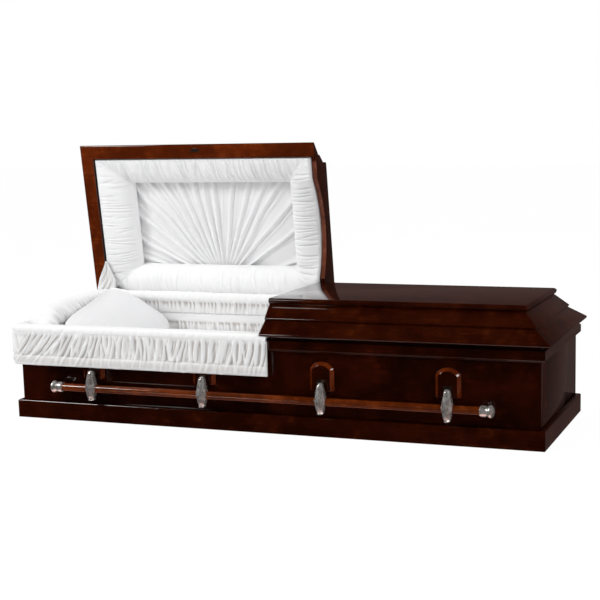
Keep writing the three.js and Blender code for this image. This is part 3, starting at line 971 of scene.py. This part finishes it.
@dataclass(frozen=True)
class WoodWork:
    """Panels, mouldings and lid halves with eased arrises under lacquer."""

    arris: float = 1.1
    fine_arris: float = 0.7
    arch_depth: float = 0.07
    arch_floor: float = 0.5

    def build(self) -> None:
        """Make every polished wooden piece."""
        for node in ("front_panel", "back_panel", "head_end_panel", "foot_end_panel"):
            self._polish(node, Finish.PANEL_WOOD, Body.CASKET, self.fine_arris)
        for side in ("front", "back", "head", "foot"):
            self._polish(f"base_moulding_{side}", Finish.RIM_WOOD, Body.CASKET, self.arris)
            self._polish(f"top_moulding_{side}", Finish.PANEL_WOOD, Body.CASKET, self.arris)
        for half, body in (("head_lid", Body.HEAD_LID), ("foot_lid", Body.FOOT_LID)):
            crown = self._polish(f"{half}_crown", Finish.RIM_WOOD, body, self.arris)
            if body is Body.HEAD_LID:
                # Paler wood on the open head lid's crown faces that face forward.
                accent(crown, Finish.LID_WOOD, lambda centre, normal: normal.y < -0.7)
            self._polish(f"{half}_top_board", Finish.RIM_WOOD, body, self.arris)
        arched = self._polish("head_lid_header", Finish.RIM_WOOD, Body.HEAD_LID, self.fine_arris)
        accent(arched, Finish.EDGE_WOOD, self._in_arch)
        self._polish("foot_lid_header", Finish.RIM_WOOD, Body.FOOT_LID, self.fine_arris)
        for node in ("bottom_board", "bed_frame"):
            dress(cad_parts[node], Finish.INNER_WOOD)
        dress(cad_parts["lid_hinge"], Finish.BRONZE)

    def _in_arch(self, centre: Vector, normal: Vector) -> bool:
        """Whether a face of the open head lid's arched board lies on the underside of the arch.

        Args:
            centre: Middle of the face.
            normal: Direction it faces.

        Returns:
            True on the underside of the arch.
        """
        slope = math.tan(math.radians(HINGE.open_degrees))
        rim = HINGE.pin_y * MM + (HINGE.pin_z * MM - centre.z) / slope
        in_arch = centre.y < rim + self.arch_depth and centre.z > self.arch_floor
        return in_arch and abs(normal.x) < 0.4 and normal.y < -0.3

    def _polish(self, node: str, finish: Finish, body: Body, arris: float) -> bpy.types.Object:
        """Make one polished piece in place of its node."""
        return settle(softened(node, arris), finish, Slot.DARK_WOOD, body, node)


@dataclass(frozen=True)
class Handles:
    """Both sets of lugs, brackets, hinged arms and the long bars with their tips."""

    lug_pitch: float = 471.0
    lugs: int = 4
    bar_y: float = -355.0
    bar_z: float = 134.0
    bar_radius: float = 15.5
    bar_half: float = 828.0
    arm_lead: float = 6.0
    tip_start: float = 828.3
    lug_bevel: float = 1.0
    groove_degrees: Pair = (6.0, -30.0)
    groove_depth: float = 2.4
    groove_width: float = 5.5
    arm_body: tuple[Triple, ...] = (
        (204.0, 4.0, 9.0), (201.5, 7.6, 13.0), (195.0, 10.5, 17.0), (176.0, 14.0, 22.0),
        (160.0, 17.2, 26.4), (142.0, 20.5, 31.0), (136.0, 20.2, 31.6), (129.0, 18.4, 31.0),
        (113.0, 15.0, 28.5), (101.0, 12.4, 24.0), (98.0, 10.2, 20.0), (95.0, 10.6, 22.5),
        (92.5, 11.6, 25.5), (91.0, 10.2, 24.0),
    )
    tip_profile: Section = (
        (0.0, 1.0), (0.0, 17.0), (2.0, 19.4), (7.0, 20.2), (18.0, 20.0), (22.0, 18.6),
        (25.0, 16.8), (27.0, 17.4), (30.0, 20.6), (35.0, 22.9), (41.0, 22.6), (45.5, 18.4),
        (48.5, 12.0), (50.5, 6.5), (51.8, 0.6),
    )

    def build(self) -> None:
        """Make both handle sets; the back one is the front one turned half round."""
        for side, sign, body in (("front", 1, Body.FRONT_HANDLE), ("back", -1, Body.BACK_HANDLE)):
            turn = Matrix.Rotation(0.0 if sign > 0 else math.pi, 4, "Z")
            for place in range(self.lugs):
                number = place + 1 if sign > 0 else self.lugs - place
                x = (place - (self.lugs - 1) / 2) * self.lug_pitch
                self._arm(f"{side}_arm_{number}", x, turn, body)
                node = f"{side}_lug_{number}"
                lug = softened(node, self.lug_bevel, 20.0)
                settle(lug, Finish.PANEL_WOOD, Slot.DARK_WOOD, Body.CASKET, node)
                # Painted highlight: the lug's bevels take the paler wood, lighter than its face, where light
                # would catch them.
                accent(lug, Finish.LID_WOOD, lambda centre, normal: abs(normal.y) < 0.97)
                dress(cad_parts[f"{side}_bracket_{number}"], Finish.BRONZE)
            self._bar(side, turn, body)
            for end in ("head", "foot"):
                outward = 1 if (end == "foot") == (sign > 0) else -1
                self._tip(f"{side}_tip_{end}", outward, turn, body)

    def _arm(self, node: str, x: float, turn: Matrix, body: Body) -> None:
        """Make one cast arm: long facets that meet in a ridge in front of the bar.

        Args:
            node: Name of the arm's node.
            x: Its place along the bar.
            turn: Turn of the whole set.
            body: The body it rides on.
        """
        rings = []
        for z, half, ridge in self.arm_body:
            shoulder, back = min(15.8, 1.2 * half), 0.75 * half
            ring = [
                (half, -shoulder),
                (0.08 * half, -ridge),
                (-0.62 * half, -0.25 * shoulder - 0.75 * ridge),
                (-half, -shoulder),
                (-half, 0.35 * half),
                (0.0, back),
                (half, 0.35 * half),
            ]
            rings.append([(x + self.arm_lead + px, self.bar_y + py, z) for px, py in ring])
        cast = loft(f"{node}_cast", np.array(rings), smooth=False)
        bevelled(cast, 1.2, 30.0, 16.0)
        cast.data.transform(turn)
        settle(cast, Finish.SILVER, Slot.SILVER, body, node)

    def _bar(self, side: str, turn: Matrix, body: Body) -> None:
        """Make the long bar with two fine grooves along its outer face.

        Args:
            side: Which long side it is on.
            turn: Turn of the whole set.
            body: The body it rides on.
        """
        angles = np.radians(np.arange(0.0, 360.0, 3.0))
        radius = np.full(angles.shape, self.bar_radius - 0.4)
        for groove in self.groove_degrees:
            away = np.degrees(np.angle(np.exp(1j * (angles - math.radians(180.0 - groove)))))
            radius = radius - self.groove_depth * np.exp(-((away / self.groove_width) ** 2))
        rings = []
        for x in (-self.bar_half, -self.bar_half + 1.0, self.bar_half - 1.0, self.bar_half):
            inset = 1.0 if abs(x) == self.bar_half else 0.0
            y = self.bar_y + (radius - inset) * np.cos(angles)
            z = self.bar_z + (radius - inset) * np.sin(angles)
            rings.append(np.stack([np.full(angles.shape, x), y, z], 1))
        bar = loft(f"{side}_bar_polished", np.array(rings))
        bar.data.set_sharp_from_angle(angle=math.radians(30))
        bar.data.transform(turn)
        settle(bar, Finish.BAR_WOOD, Slot.BAR_WOOD, body, f"{side}_bar")

    def _tip(self, node: str, outward: int, turn: Matrix, body: Body) -> None:
        """Make one cast tip on a bar's end.

        Args:
            node: Name of the tip's node.
            outward: 1 at the end towards +X before the turn, and -1 at the other.
            turn: Turn of the whole set.
            body: The body it rides on.
        """
        axis = Vector((float(outward), 0.0, 0.0))
        start = Vector((outward * self.tip_start, self.bar_y, self.bar_z))
        tip = turned(f"{node}_cast", self.tip_profile, 28, axis, start)
        tip.data.transform(turn)
        settle(tip, Finish.SILVER, Slot.SILVER, body, node)


@dataclass(frozen=True)
class Puff:
    """One side of the padded frame in the head lid: its gathers and its section."""

    side: str
    gathers: Gathers
    profile: Section
    arched: bool = False
    taper: float = 0.0
    pressed: float = 1.0


@dataclass(frozen=True)
class LidCloth:
    """The head lid's interior: four puffs round a pleated sunburst."""

    outer_low: Pair = (-1008.0, -295.5)
    outer_high: Pair = (-21.8, 295.5)
    inner_low: Pair = (-860.0, -184.5)
    inner_high: Pair = (-138.8, 170.5)
    station: float = 2.0
    heave: float = 1.6
    pinch_reach: float = 150.0
    pinch_sink: float = 20.0
    fan_centre: Pair = (-487.0, 258.0)
    fan_rays: tuple[float, ...] = (
        -73, -63, -51, -41.5, -35, -29, -22, -14, -7.5, -1, 10.5, 19, 26.5, 33, 43, 55, 73
    )
    fan_front: float = 458.0
    fan_back: float = 465.8
    fan_height: float = 15.0
    fan_margin: float = 18.0
    arch_half: float = 205.0
    arch_rise: float = 53.0
    arch_lift: float = 63.64
    board: float = 440.3
    front_profile: Section = (
        (0.0, 383.0), (0.012, 374.0), (0.045, 366.8), (0.11, 364.2), (0.25, 365.0), (0.45, 369.0),
        (0.64, 377.0), (0.8, 390.0), (0.92, 407.0), (0.985, 425.0), (1.0, 439.0),
    )
    roll_profile: Section = (
        (0.0, 380.0), (0.01, 366.0), (0.07, 356.0), (0.2, 348.0), (0.4, 346.0), (0.6, 352.0),
        (0.78, 366.0), (0.92, 390.0), (1.0, 420.0), (1.01, 439.0),
    )
    back_profile: Section = ((1.0, 440.3), (0.72, 440.3), (0.3, 404.0), (0.02, 382.0))

    def build(self) -> None:
        """Make the puffs and the sunburst."""
        face = self.front_profile
        puffs = (
            Puff("front", Gathers(19.0, 6.4, 3.4, 11, Fold.RIDGE, 0.1, 7.0, 0.8), face),
            Puff("seam", Gathers(16.0, 4.2, 2.9, 12, Fold.CREASE, 0.02, 2.0, 0.75), face, arched=True),
            Puff(
                "hinge",
                Gathers(21.0, 6.0, 3.6, 13, Fold.RIDGE, 0.22, 6.0, 0.4, 0.4, 0.75),
                self.roll_profile,
                taper=30.0,
                pressed=0.77,
            ),
            Puff("head", Gathers(16.0, 4.0, 3.0, 14, Fold.CREASE, 0.04, 3.0, 0.4, 0.5, 0.72), face),
        )
        outer, inner = (
            np.array([low, (high[0], low[1]), high, (low[0], high[1])])
            for low, high in ((self.outer_low, self.outer_high), (self.inner_low, self.inner_high))
        )
        for corner, puff in enumerate(puffs):
            ends = [corner, (corner + 1) % len(puffs)]
            self._puff(puff, outer[ends], inner[ends])
        self._sunburst()

    def _puff(self, puff: Puff, outer: np.ndarray, inner: np.ndarray) -> None:
        """Make one puff with mitred ends.

        Args:
            puff: Its gathers and section.
            outer: Ends of its outer edge in plan.
            inner: Ends of its inner edge in plan.
        """
        heading, mitre = outer[1] - outer[0], inner[0] - outer[0]
        length = float(np.linalg.norm(heading))
        width = abs(heading[0] * mitre[1] - heading[1] * mitre[0]) / length
        front, back = (
            [(share * width, height) for share, height in side] for side in (puff.profile, self.back_profile)
        )
        section, is_front = closed_section(smooth_line(front, 38), back)
        share = np.clip(section[:, 0] / width, 0.0, 1.01)
        stations = np.linspace(0.0, 1.0, int(length / self.station))[:, None]
        starts = outer[0] + mitre * share[:, None]
        ends = outer[1] + (inner[1] - outer[1]) * share[:, None]
        plan = starts + (ends - starts) * stations[..., None]
        offset = mitre @ heading / length
        along = np.linalg.norm(plan - starts, axis=2) + share * offset
        across = np.where(is_front, share, 0.0) + 0.0 * stations
        relief = puff.gathers.relief(along, across, width)
        edge = eased(across, 0.0, 0.12) * (1.0 - 0.75 * eased(across, 0.86, 1.0))
        fade = eased(stations, 0.0, 0.02) * (1.0 - eased(stations, 0.98, 1.0))
        sunk = 0.85 * puff.gathers.depth - relief
        heights = section[:, 1] + sunk * edge * is_front * fade
        heights = heights + self.heave * wander(along, 90.0, puff.gathers.seed + 50) * edge * is_front
        if puff.arched:
            heights = self._raised(heights, plan[..., 1], share)
        if puff.taper:
            reach = np.minimum(stations * length, (1.0 - stations) * length)
            pinch = 1.0 - eased(reach, 0.0, self.pinch_reach)
            plan[..., 1] -= pinch * puff.taper * (1.0 - share)
            heights = heights + pinch * self.pinch_sink * is_front
        points = np.concatenate([plan, heights[..., None]], axis=2)
        piece = loft(f"lid_puff_{puff.side}", HINGE.opened(points))
        mark_hollows(piece, 2.6)
        settle(piece, Finish.LID_CLOTH, Slot.CLOTH, Body.HEAD_LID, f"head_lid_puff_{puff.side}")
        if puff.pressed < 1.0:
            HINGE.outward()
            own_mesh(piece)

    def _raised(self, heights: np.ndarray, y: np.ndarray, share: np.ndarray) -> np.ndarray:
        """Lift the seam puff's outer side to follow the arch.

        Args:
            heights: Heights of the puff before the lift.
            y: Places across the lid.
            share: Share of the way from the outer edge to the inner one.

        Returns:
            The lifted heights.
        """
        radius = (self.arch_half**2 + self.arch_rise**2) / (2 * self.arch_rise)
        reach = np.minimum(np.abs(y), self.arch_half)
        rise = self.arch_rise - radius + np.sqrt(radius**2 - reach**2)
        lifted = heights + rise / self.arch_rise * self.arch_lift * (1.0 - share)
        return np.maximum(heights, np.minimum(lifted, self.board))

    def _sunburst(self) -> None:
        """Make the pleated panel, whose pleats fan out from behind the lowest puff."""
        margin = self.fan_margin
        x = np.linspace(self.inner_low[0] - margin, self.inner_high[0] + margin, 420)
        y = np.linspace(self.inner_low[1] - margin, self.inner_high[1] + margin, 220)
        along, across = np.meshgrid(x, y, indexing="ij")
        away_x, away_y = along - self.fan_centre[0], self.fan_centre[1] - across
        reach = np.hypot(away_x, away_y)
        angle = np.arctan2(away_x, away_y)
        rng = np.random.default_rng(33)
        calm = np.ones(angle.shape)
        for ray in self.fan_rays:
            main, aside = rng.uniform(0.75, 1.0), rng.uniform(2.8, 4.4)
            for offset, strength, thin in ((0.0, main, 1.0), (aside, 0.22, 0.55)):
                bend = 0.014 * wander(reach, 120.0, int(rng.integers(900)))
                apart = reach * np.sin(angle + bend - math.radians(ray + offset))
                wide = thin * (4.6 + 0.024 * reach) * rng.uniform(0.8, 1.2)
                wide = np.where(apart > 0, wide * 0.6, wide)
                calm = calm * (1.0 - strength * np.exp(-((apart / wide) ** 2)))
        relief = self.fan_height * (1.0 - calm) * eased(reach, 10.0, 200.0)
        relief = relief + 1.2 * wander(along + 0.3 * across, 60.0, 34)
        front = np.stack([along, across, self.fan_front - relief], -1)
        piece = loft("lid_sunburst", HINGE.opened(backed(front, self.fan_back)))
        mark_hollows(piece, 4.2)
        settle(piece, Finish.LID_CLOTH, Slot.CLOTH, Body.HEAD_LID, "head_lid_sunburst")


@dataclass(frozen=True)
class Skirt:
    """Cloth over the rail: a soft roll on top and a gathered drop that ends in a hem."""

    half_length: float = 1032.5
    half_width: float = 320.0
    seam_end: float = 30.0
    back_end: float = 290.0
    corner: float = 8.0
    station: float = 2.2
    drop_top: float = 356.0
    drop_height: float = 142.0
    hem_seam: float = 0.72
    # Share of painted shade added over the hem band.
    hem_shade: float = 0.27
    gathers: Gathers = Gathers(18.0, 15.0, 5.8, 21, Fold.RIDGE, 0.1, 11.0, 0.5, 0.5, 0.95)
    wrinkles: Gathers = Gathers(12.0, 3.4, 2.8, 22, Fold.CREASE, 0.15, 6.0, 0.15, 0.3, 0.8)
    puckers: Gathers = Gathers(26.0, 2.2, 6.0, 25, Fold.CREASE, 0.5, 5.0, 0.3)
    drop_profile: Section = (
        (19.0, 356.5), (26.0, 356.0), (31.0, 351.0), (32.5, 340.0), (32.5, 300.0), (32.5, 262.0),
        (33.5, 240.0), (32.0, 222.0), (29.0, 214.5),
    )
    drop_back: Section = ((26.0, 213.2), (19.6, 215.0), (18.4, 262.0), (18.2, 310.0), (17.8, 350.0))
    roll_profile: Section = (
        (-54.0, 355.7), (-55.5, 359.5), (-47.0, 364.0), (-25.0, 366.4), (0.0, 368.0),
        (18.0, 368.8), (27.0, 366.6), (32.4, 361.0), (34.2, 353.5), (33.8, 347.0), (31.6, 343.4),
        (25.0, 343.0),
    )
    roll_back: Section = ((18.6, 349.0), (17.6, 355.6), (0.0, 355.7), (-30.0, 355.6))
    roll_centre: Pair = (0.0, 340.0)

    def build(self) -> None:
        """Make the roll and the drop."""
        corners = (
            (self.seam_end, -self.half_width),
            (-self.half_length, -self.half_width),
            (-self.half_length, self.back_end),
        )
        run = rounded_run(corners, self.corner, self.station)
        self._drop(run)
        self._roll(run)

    def _lean(self, place: float) -> float:
        """Slant of the gathers by their place, strongest by the front corner at the head.

        Args:
            place: Length along the run.

        Returns:
            The slant.
        """
        corner = self.seam_end + self.half_length
        if place > corner:
            return -0.25 * math.exp(-(place - corner - 60.0) / 200.0)
        return 0.12 + 0.75 * float(eased(np.array(place), corner - 420.0, corner - 60.0))

    def _drop(self, run: Run) -> None:
        """Make the gathered drop with its hem.

        Args:
            run: Stations round the rail.
        """
        section, is_front = closed_section(smooth_line(self.drop_profile, 64), self.drop_back)
        fall = np.clip((self.drop_top - section[:, 1]) / self.drop_height, 0.0, 1.0)
        along, across = np.meshgrid(run.length, fall, indexing="ij")
        relief = self.gathers.relief(along, across, self.drop_height, self._lean)
        fine = self.wrinkles.relief(along, across, self.drop_height, self._lean)
        body = eased(across, 0.03, 0.24) * (1.0 - 0.8 * eased(across, 0.66, 0.76))
        below = across - self.hem_seam
        groove = 3.0 * np.exp(-((below / 0.016) ** 2))
        swell = 2.4 * np.sin(np.clip(below / 0.28, 0.0, 1.0) * math.pi)
        out = section[:, 0] + (relief - 11.0 + fine - 2.4) * body * is_front
        out = out + (swell - groove + 1.2 * wander(along + 40.0 * across, 24.0, 23) * body) * is_front
        scallop = 2.0 * wander(run.length, 26.0, 24)[:, None] * eased(across, 0.9, 1.0)
        up = section[:, 1] + scallop * is_front
        out = np.maximum(out, section[:, 0] * ~is_front)
        drop = loft("skirt_drop", run.points(out, up))
        # Painted shade on the creases, and more over the hem band.
        mark_hollows(drop, 4.4, self.hem_shade * eased(across, 0.7, 0.76).ravel())
        settle(drop, Finish.BODY_CLOTH, Slot.CLOTH, Body.CASKET, "overlay_skirt")

    def _roll(self, run: Run) -> None:
        """Make the soft roll over the rail.

        Args:
            run: Stations round the rail.
        """
        section, is_front = closed_section(smooth_line(self.roll_profile, 44), self.roll_back)
        share = np.clip(np.arange(len(section)) / is_front.sum(), 0.0, 1.0)
        along, across = np.meshgrid(run.length, share, indexing="ij")
        pucker = self.puckers.relief(along, across, 90.0)
        rise = (pucker - 1.6 + 1.6 * wander(along, 120.0, 26)) * eased(share, 0.05, 0.3) * is_front
        moved = pushed(section, self.roll_centre, rise)
        roll = loft("rail_roll", run.points(moved[..., 0], moved[..., 1]))
        mark_hollows(roll, 3.0)
        settle(roll, Finish.BODY_CLOTH, Slot.CLOTH, Body.CASKET, "overlay_skirt")
        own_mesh(roll)


@dataclass(frozen=True)
class BodyCloth:
    """Lining of the body, the rolls on the hinge side and head end, the gusset and the mattress."""

    half_length: float = 1032.5
    half_width: float = 320.0
    inner_corner: float = 88.0
    lining_station: float = 3.6
    lining_gathers: Gathers = Gathers(16.0, 7.0, 4.0, 41, Fold.RIDGE, 0.1, 4.0, 0.6)
    lining_profile: Section = (
        (-20.0, 350.0), (-24.0, 353.0), (-40.0, 353.4), (-52.0, 351.0), (-57.0, 343.0),
        (-58.5, 330.0), (-58.0, 312.0), (-56.5, 304.0), (-58.0, 290.0), (-57.5, 250.0),
        (-57.0, 180.0), (-57.0, 101.0),
    )
    lining_back: Section = ((-30.0, 100.4), (-20.0, 101.0), (-19.6, 220.0), (-19.6, 330.0))
    roll_station: float = 2.4
    hinge_span: Pair = (-968.0, -8.0)
    hinge_centre: Pair = (285.0, 385.0)
    hinge_lift: float = 11.0
    hinge_band: Gathers = Gathers(17.0, 8.0, 4.2, 43, Fold.RIDGE, 0.0, 4.0, 0.7)
    hinge_folds: Gathers = Gathers(17.0, 2.4, 3.4, 44, Fold.RIDGE, -0.9, 3.0, 0.5)
    hinge_profile: Section = (
        (313.0, 356.5), (313.5, 380.0), (311.0, 404.0), (301.0, 421.0), (286.0, 429.0),
        (270.0, 429.0), (256.0, 421.0), (250.0, 408.0), (251.0, 396.0), (254.0, 387.0),
        (254.0, 377.0), (254.5, 362.0), (257.0, 348.0), (261.0, 342.0), (264.0, 349.0),
        (268.0, 356.5),
    )
    end_span: Pair = (-292.0, 284.0)
    end_centre: Pair = (-990.0, 385.0)
    end_base: float = 366.0
    end_slack: float = 34.0
    end_crest: Section = (
        (-292.0, 385.0), (-270.0, 397.0), (-180.0, 423.0), (-60.0, 433.0), (70.0, 436.0),
        (200.0, 438.0), (284.0, 432.0),
    )
    end_folds: Gathers = Gathers(24.0, 9.0, 6.0, 47, Fold.CREASE, 0.6, 10.0, 0.4, 0.5, 0.9)
    gusset_folds: Gathers = Gathers(15.0, 6.0, 3.6, 49, Fold.CREASE, 0.5, 4.0, 0.6)
    bed_half: Pair = (969.0, 256.5)
    bed_heights: Pair = (179.0, 282.0)
    bed_crown: float = 16.0

    def build(self) -> None:
        """Make the lining, both rolls, the gusset and the mattress."""
        self._lining()
        self._hinge_roll()
        self._head_end_roll()
        self._gusset()
        self._mattress()

    def _lining(self) -> None:
        """Make the gathered lining as one ring."""
        x, y = self.half_length, self.half_width
        corners = ((x, -y), (-x, -y), (-x, y), (x, y))
        run = rounded_run(corners, self.inner_corner, self.lining_station, True)
        section, is_front = closed_section(smooth_line(self.lining_profile, 54), self.lining_back)
        height = section[:, 1]
        fall = np.clip((355.0 - height) / 110.0, 0.0, 1.0)
        along, across = np.meshgrid(run.length, fall, indexing="ij")
        relief = self.lining_gathers.relief(along, across, 110.0) - 4.0
        upper = eased(height, 336.0, 344.0)
        lower = 1.0 - eased(height, 304.0, 310.0)
        inward = relief * (0.5 * upper + lower * eased(height, 120.0, 260.0)) * is_front
        out = section[:, 0] - np.where(height < 292.0, np.minimum(inward, 2.6), inward)
        points = run.points(out, np.broadcast_to(height, out.shape))
        lining = loft("body_lining_gathered", points, looped=True)
        mark_hollows(lining, 3.0)
        settle(lining, Finish.BODY_CLOTH, Slot.CLOTH, Body.CASKET, "body_lining")

    def _hinge_roll(self) -> None:
        """Make the gathered band and roll that hide the hinge."""
        start, end = self.hinge_span
        section = smooth_line(self.hinge_profile, 58)
        share = np.arange(len(section)) / len(section)
        along, across = np.meshgrid(np.arange(start, end, self.roll_station), share, indexing="ij")
        band = self.hinge_band.relief(along, across, 60.0) - 4.0
        fine = self.hinge_folds.relief(along, across, 90.0)
        on_band = eased(across, 0.62, 0.68) * (1.0 - eased(across, 0.88, 0.93))
        on_roll = eased(across, 0.2, 0.34) * (1.0 - eased(across, 0.62, 0.68))
        fade = eased(along, start, start + 23.0) * (1.0 - eased(along, end - 32.0, end))
        rise = (band * on_band + (fine + 1.5 * wander(along, 150.0, 45)) * on_roll) * fade
        moved = pushed(section, self.hinge_centre, rise)
        by_head = 1.0 - eased(along, start, start + 88.0)
        moved[..., 1] += self.hinge_lift * by_head * eased(section[:, 1], 380.0, 430.0)
        roll = loft("hinge_roll", np.concatenate([along[..., None], moved], -1))
        mark_hollows(roll, 2.6)
        settle(roll, Finish.BODY_CLOTH, Slot.CLOTH, Body.CASKET)
        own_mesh(roll)

    def _end_section(self, top: float, slack: float) -> np.ndarray:
        """Section of the head end roll.

        Args:
            top: Height of its crest.
            slack: How far its inner side stays back.

        Returns:
            Points of x and height.
        """
        base = self.end_base
        points = (
            (-1016.0, base + 3.8),
            (-1031.0, 0.5 * (top + base)),
            (-1021.0, top - 7.0),
            (-1000.0, top),
            (-974.0, top - 8.0),
            (-953.0 + 0.5 * slack, 0.4 * top + 0.6 * base),
            (-950.0 + slack, 362.0 - 0.3 * slack),
            (-955.0 + 0.8 * slack, 348.0 - 0.5 * slack),
            (-970.0, 346.0 - 0.3 * slack),
        )
        return smooth_line(points, 52)

    def _head_end_roll(self) -> None:
        """Make the puffed roll over the head end, higher towards the hinge side."""
        y = np.arange(*self.end_span, self.roll_station)
        tops = np.interp(y, *np.array(self.end_crest).T)
        slacks = self.end_slack * (1.0 - eased(y, -262.0, -140.0))
        section = np.array([self._end_section(top, slack) for top, slack in zip(tops, slacks)])
        share = np.arange(section.shape[1]) / section.shape[1]
        along, across = np.meshgrid(y, share, indexing="ij")
        folds = self.end_folds.relief(along, across, 150.0) - 5.5
        lower = eased(across, 0.46, 0.66) * (1.0 - eased(across, 0.95, 1.0))
        rise = folds * lower + 2.5 * wander(along, 70.0, 48) * eased(across, 0.15, 0.3) * (1.0 - lower)
        moved = pushed(section, self.end_centre, rise)
        roll = loft("head_end_roll", np.stack([moved[..., 0], along, moved[..., 1]], -1))
        mark_hollows(roll, 3.4)
        settle(roll, Finish.BODY_CLOTH, Slot.CLOTH, Body.CASKET)
        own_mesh(roll)

    def _gusset(self) -> None:
        """Make the small gusset between the head end roll and the lid's lower corner."""
        rise = np.linspace(-0.42, 1.0, 84)[:, None]
        span = np.linspace(0.0, 1.0, 40)
        left = np.interp(rise, (-0.42, 0.0, 0.4, 1.0), (-1036.0, -1057.0, -1040.0, -1000.0))
        right = np.interp(rise, (0.0, 0.35, 1.0), (-966.0, -960.0, -994.0))
        x = left + (right - left) * span
        y = 306.0 - 13.0 * rise - 3.0 * span
        fall = np.clip(rise, 0.0, 1.0) + 0.0 * span
        folds = self.gusset_folds.relief(span * 90.0, fall, 130.0)
        soft = np.sin(span * math.pi) ** 0.6
        up = 424.0 + 128.0 * rise + 0.0 * span
        face = np.stack([x, y - folds * soft - 3.0 * soft, up], -1)
        rear = np.stack([x, y + 3.0, up], -1)[:, ::-1]
        gusset = loft("lid_gusset", np.concatenate([face, rear], axis=1))
        mark_hollows(gusset, 2.6)
        settle(gusset, Finish.BODY_CLOTH, Slot.CLOTH, None)
        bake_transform(gusset)

    def _mattress(self) -> None:
        """Make the mattress with a soft crown."""
        low, high = self.bed_heights
        along, across = np.meshgrid(np.linspace(-1.0, 1.0, 161), np.linspace(-1.0, 1.0, 61), indexing="ij")
        edge = (1.0 - np.abs(along) ** 24) * (1.0 - np.abs(across) ** 10)
        crown = high - self.bed_crown + self.bed_crown * np.clip(edge, 0.0, 1.0) ** 0.5
        crown = crown + 1.4 * wander(along * 960.0 + 300.0 * across, 170.0, 51) * edge
        x, y = along * self.bed_half[0], across * self.bed_half[1]
        top = np.stack([x, y, np.minimum(crown, high + 3.0)], -1)
        mattress = loft("mattress_covered", backed(top, low))
        mattress.data.set_sharp_from_angle(angle=math.radians(50))
        settle(mattress, Finish.BODY_CLOTH, Slot.CLOTH, Body.CASKET, "mattress")


@dataclass(frozen=True)
class Pillow:
    """A satin pillow that leans on the head end, plump between its seams."""

    centre: Triple = (-779.0, -4.0, 348.0)
    half_long: float = 182.0
    half_wide: float = 216.0
    lean_degrees: float = 30.0
    tilt: float = 38.0
    droop: float = 58.0
    crown: float = 54.0
    belly: float = 40.0
    rest: float = 286.3
    squareness: float = 4.2

    def build(self) -> None:
        """Make the pillow from its seam inwards on both faces."""
        angles = np.linspace(0.0, 2 * math.pi, 200, endpoint=False)
        cosine, sine = (np.abs(turn(angles)) ** self.squareness for turn in (np.cos, np.sin))
        spread = (cosine + sine) ** (-1 / self.squareness)
        upper = np.sin(np.linspace(0.03, 1.0, 40) * math.pi / 2)
        rows = [self._ring(angles, spread, reach, 1.0) for reach in upper]
        rows += [self._ring(angles, spread, reach, -1.0) for reach in np.linspace(0.985, 0.2, 16)]
        pillow = loft("pillow_satin", np.array(rows))
        settle(pillow, Finish.PILLOW_SATIN, Slot.SATIN, Body.CASKET, "pillow")
        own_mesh(pillow)

    def _ring(self, angles: np.ndarray, spread: np.ndarray, reach: float, face: float) -> np.ndarray:
        """One ring of the pillow's upper or lower face.

        Args:
            angles: Angles round the pillow.
            spread: Reach of the square outline at each angle.
            reach: Share of the way from the middle to the seam.
            face: 1 for the upper face and -1 for the lower one.

        Returns:
            The ring's points.
        """
        pulled = 1.0 - 0.045 * np.cos(2 * angles) ** 2 * reach**2
        along = reach * spread * np.cos(angles) * pulled
        across = reach * spread * np.sin(angles) * pulled
        depth = self.crown if face > 0 else self.belly
        plump = np.clip(1.0 - reach**2.4, 0.0, 1.0) ** 0.6
        gather = 0.06 * wander(angles * 120.0, 9.0, 61) * reach**3 * (1.0 - reach**12)
        rise = face * depth * (plump + gather * (face > 0))
        lean = math.radians(self.lean_degrees)
        x = self.centre[0] + self.half_long * along * math.cos(lean) + rise * math.sin(lean)
        z = self.centre[2] - self.half_long * along * math.sin(lean) + rise * math.cos(lean)
        z = z + self.tilt * across - self.droop * (0.7 - 0.3 * across) * np.clip(-along, 0.0, 1.0) ** 1.6
        y = self.centre[1] + self.half_wide * across
        return np.stack([x, y, np.maximum(z, self.rest)], 1)


@dataclass(frozen=True)
class SmallParts:
    """The lock's plate on the head lid and the plain lining in the foot lid."""

    lock_x: float = -525.0
    lock_edge: float = -324.0
    lock_half: float = 21.0
    lock_drop: float = 16.0
    lock_rings: Section = ((362.6, 1.0), (361.4, 1.0), (360.9, 0.9))
    lining_low: Pair = (26.0, -226.0)
    lining_high: Pair = (938.0, 226.0)
    lining_front: float = 464.9
    lining_back: float = 466.3

    def build(self) -> None:
        """Make the small parts."""
        angles = np.linspace(0.0, math.pi, 17)
        rings = []
        for depth, share in self.lock_rings:
            x = self.lock_x + share * self.lock_half * np.cos(angles)
            y = self.lock_edge - share * self.lock_drop * np.sin(angles)
            rings.append(np.stack([x, y, np.full(x.shape, depth)], -1))
        plate = loft("lid_lock_plate", HINGE.opened(np.array(rings)), smooth=False)
        settle(plate, Finish.BRONZE, Slot.DARK_METAL, Body.HEAD_LID)
        x = np.linspace(self.lining_low[0], self.lining_high[0], 153)
        y = np.linspace(self.lining_low[1], self.lining_high[1], 40)
        along, across = np.meshgrid(x, y, indexing="ij")
        wave = 0.35 * wander(along + 0.6 * across, 40.0, 71)
        front = np.stack([along, across, self.lining_front - wave], -1)
        panel = loft("foot_lid_lining", backed(front, self.lining_back))
        settle(panel, Finish.LID_CLOTH, Slot.CLOTH, Body.FOOT_LID)


def main() -> None:
    """Build the casket's looks over the frame."""
    logging.basicConfig(level=logging.INFO, format="%(message)s")
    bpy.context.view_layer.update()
    for assembly in (
        Viewpoint(),
        Studio(),
        WoodWork(),
        Handles(),
        LidCloth(),
        Skirt(),
        BodyCloth(),
        Pillow(),
        SmallParts(),
    ):
        LOG.info("building %s", type(assembly).__name__)
        assembly.build()
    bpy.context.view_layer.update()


if __name__ == "__main__":
    main()
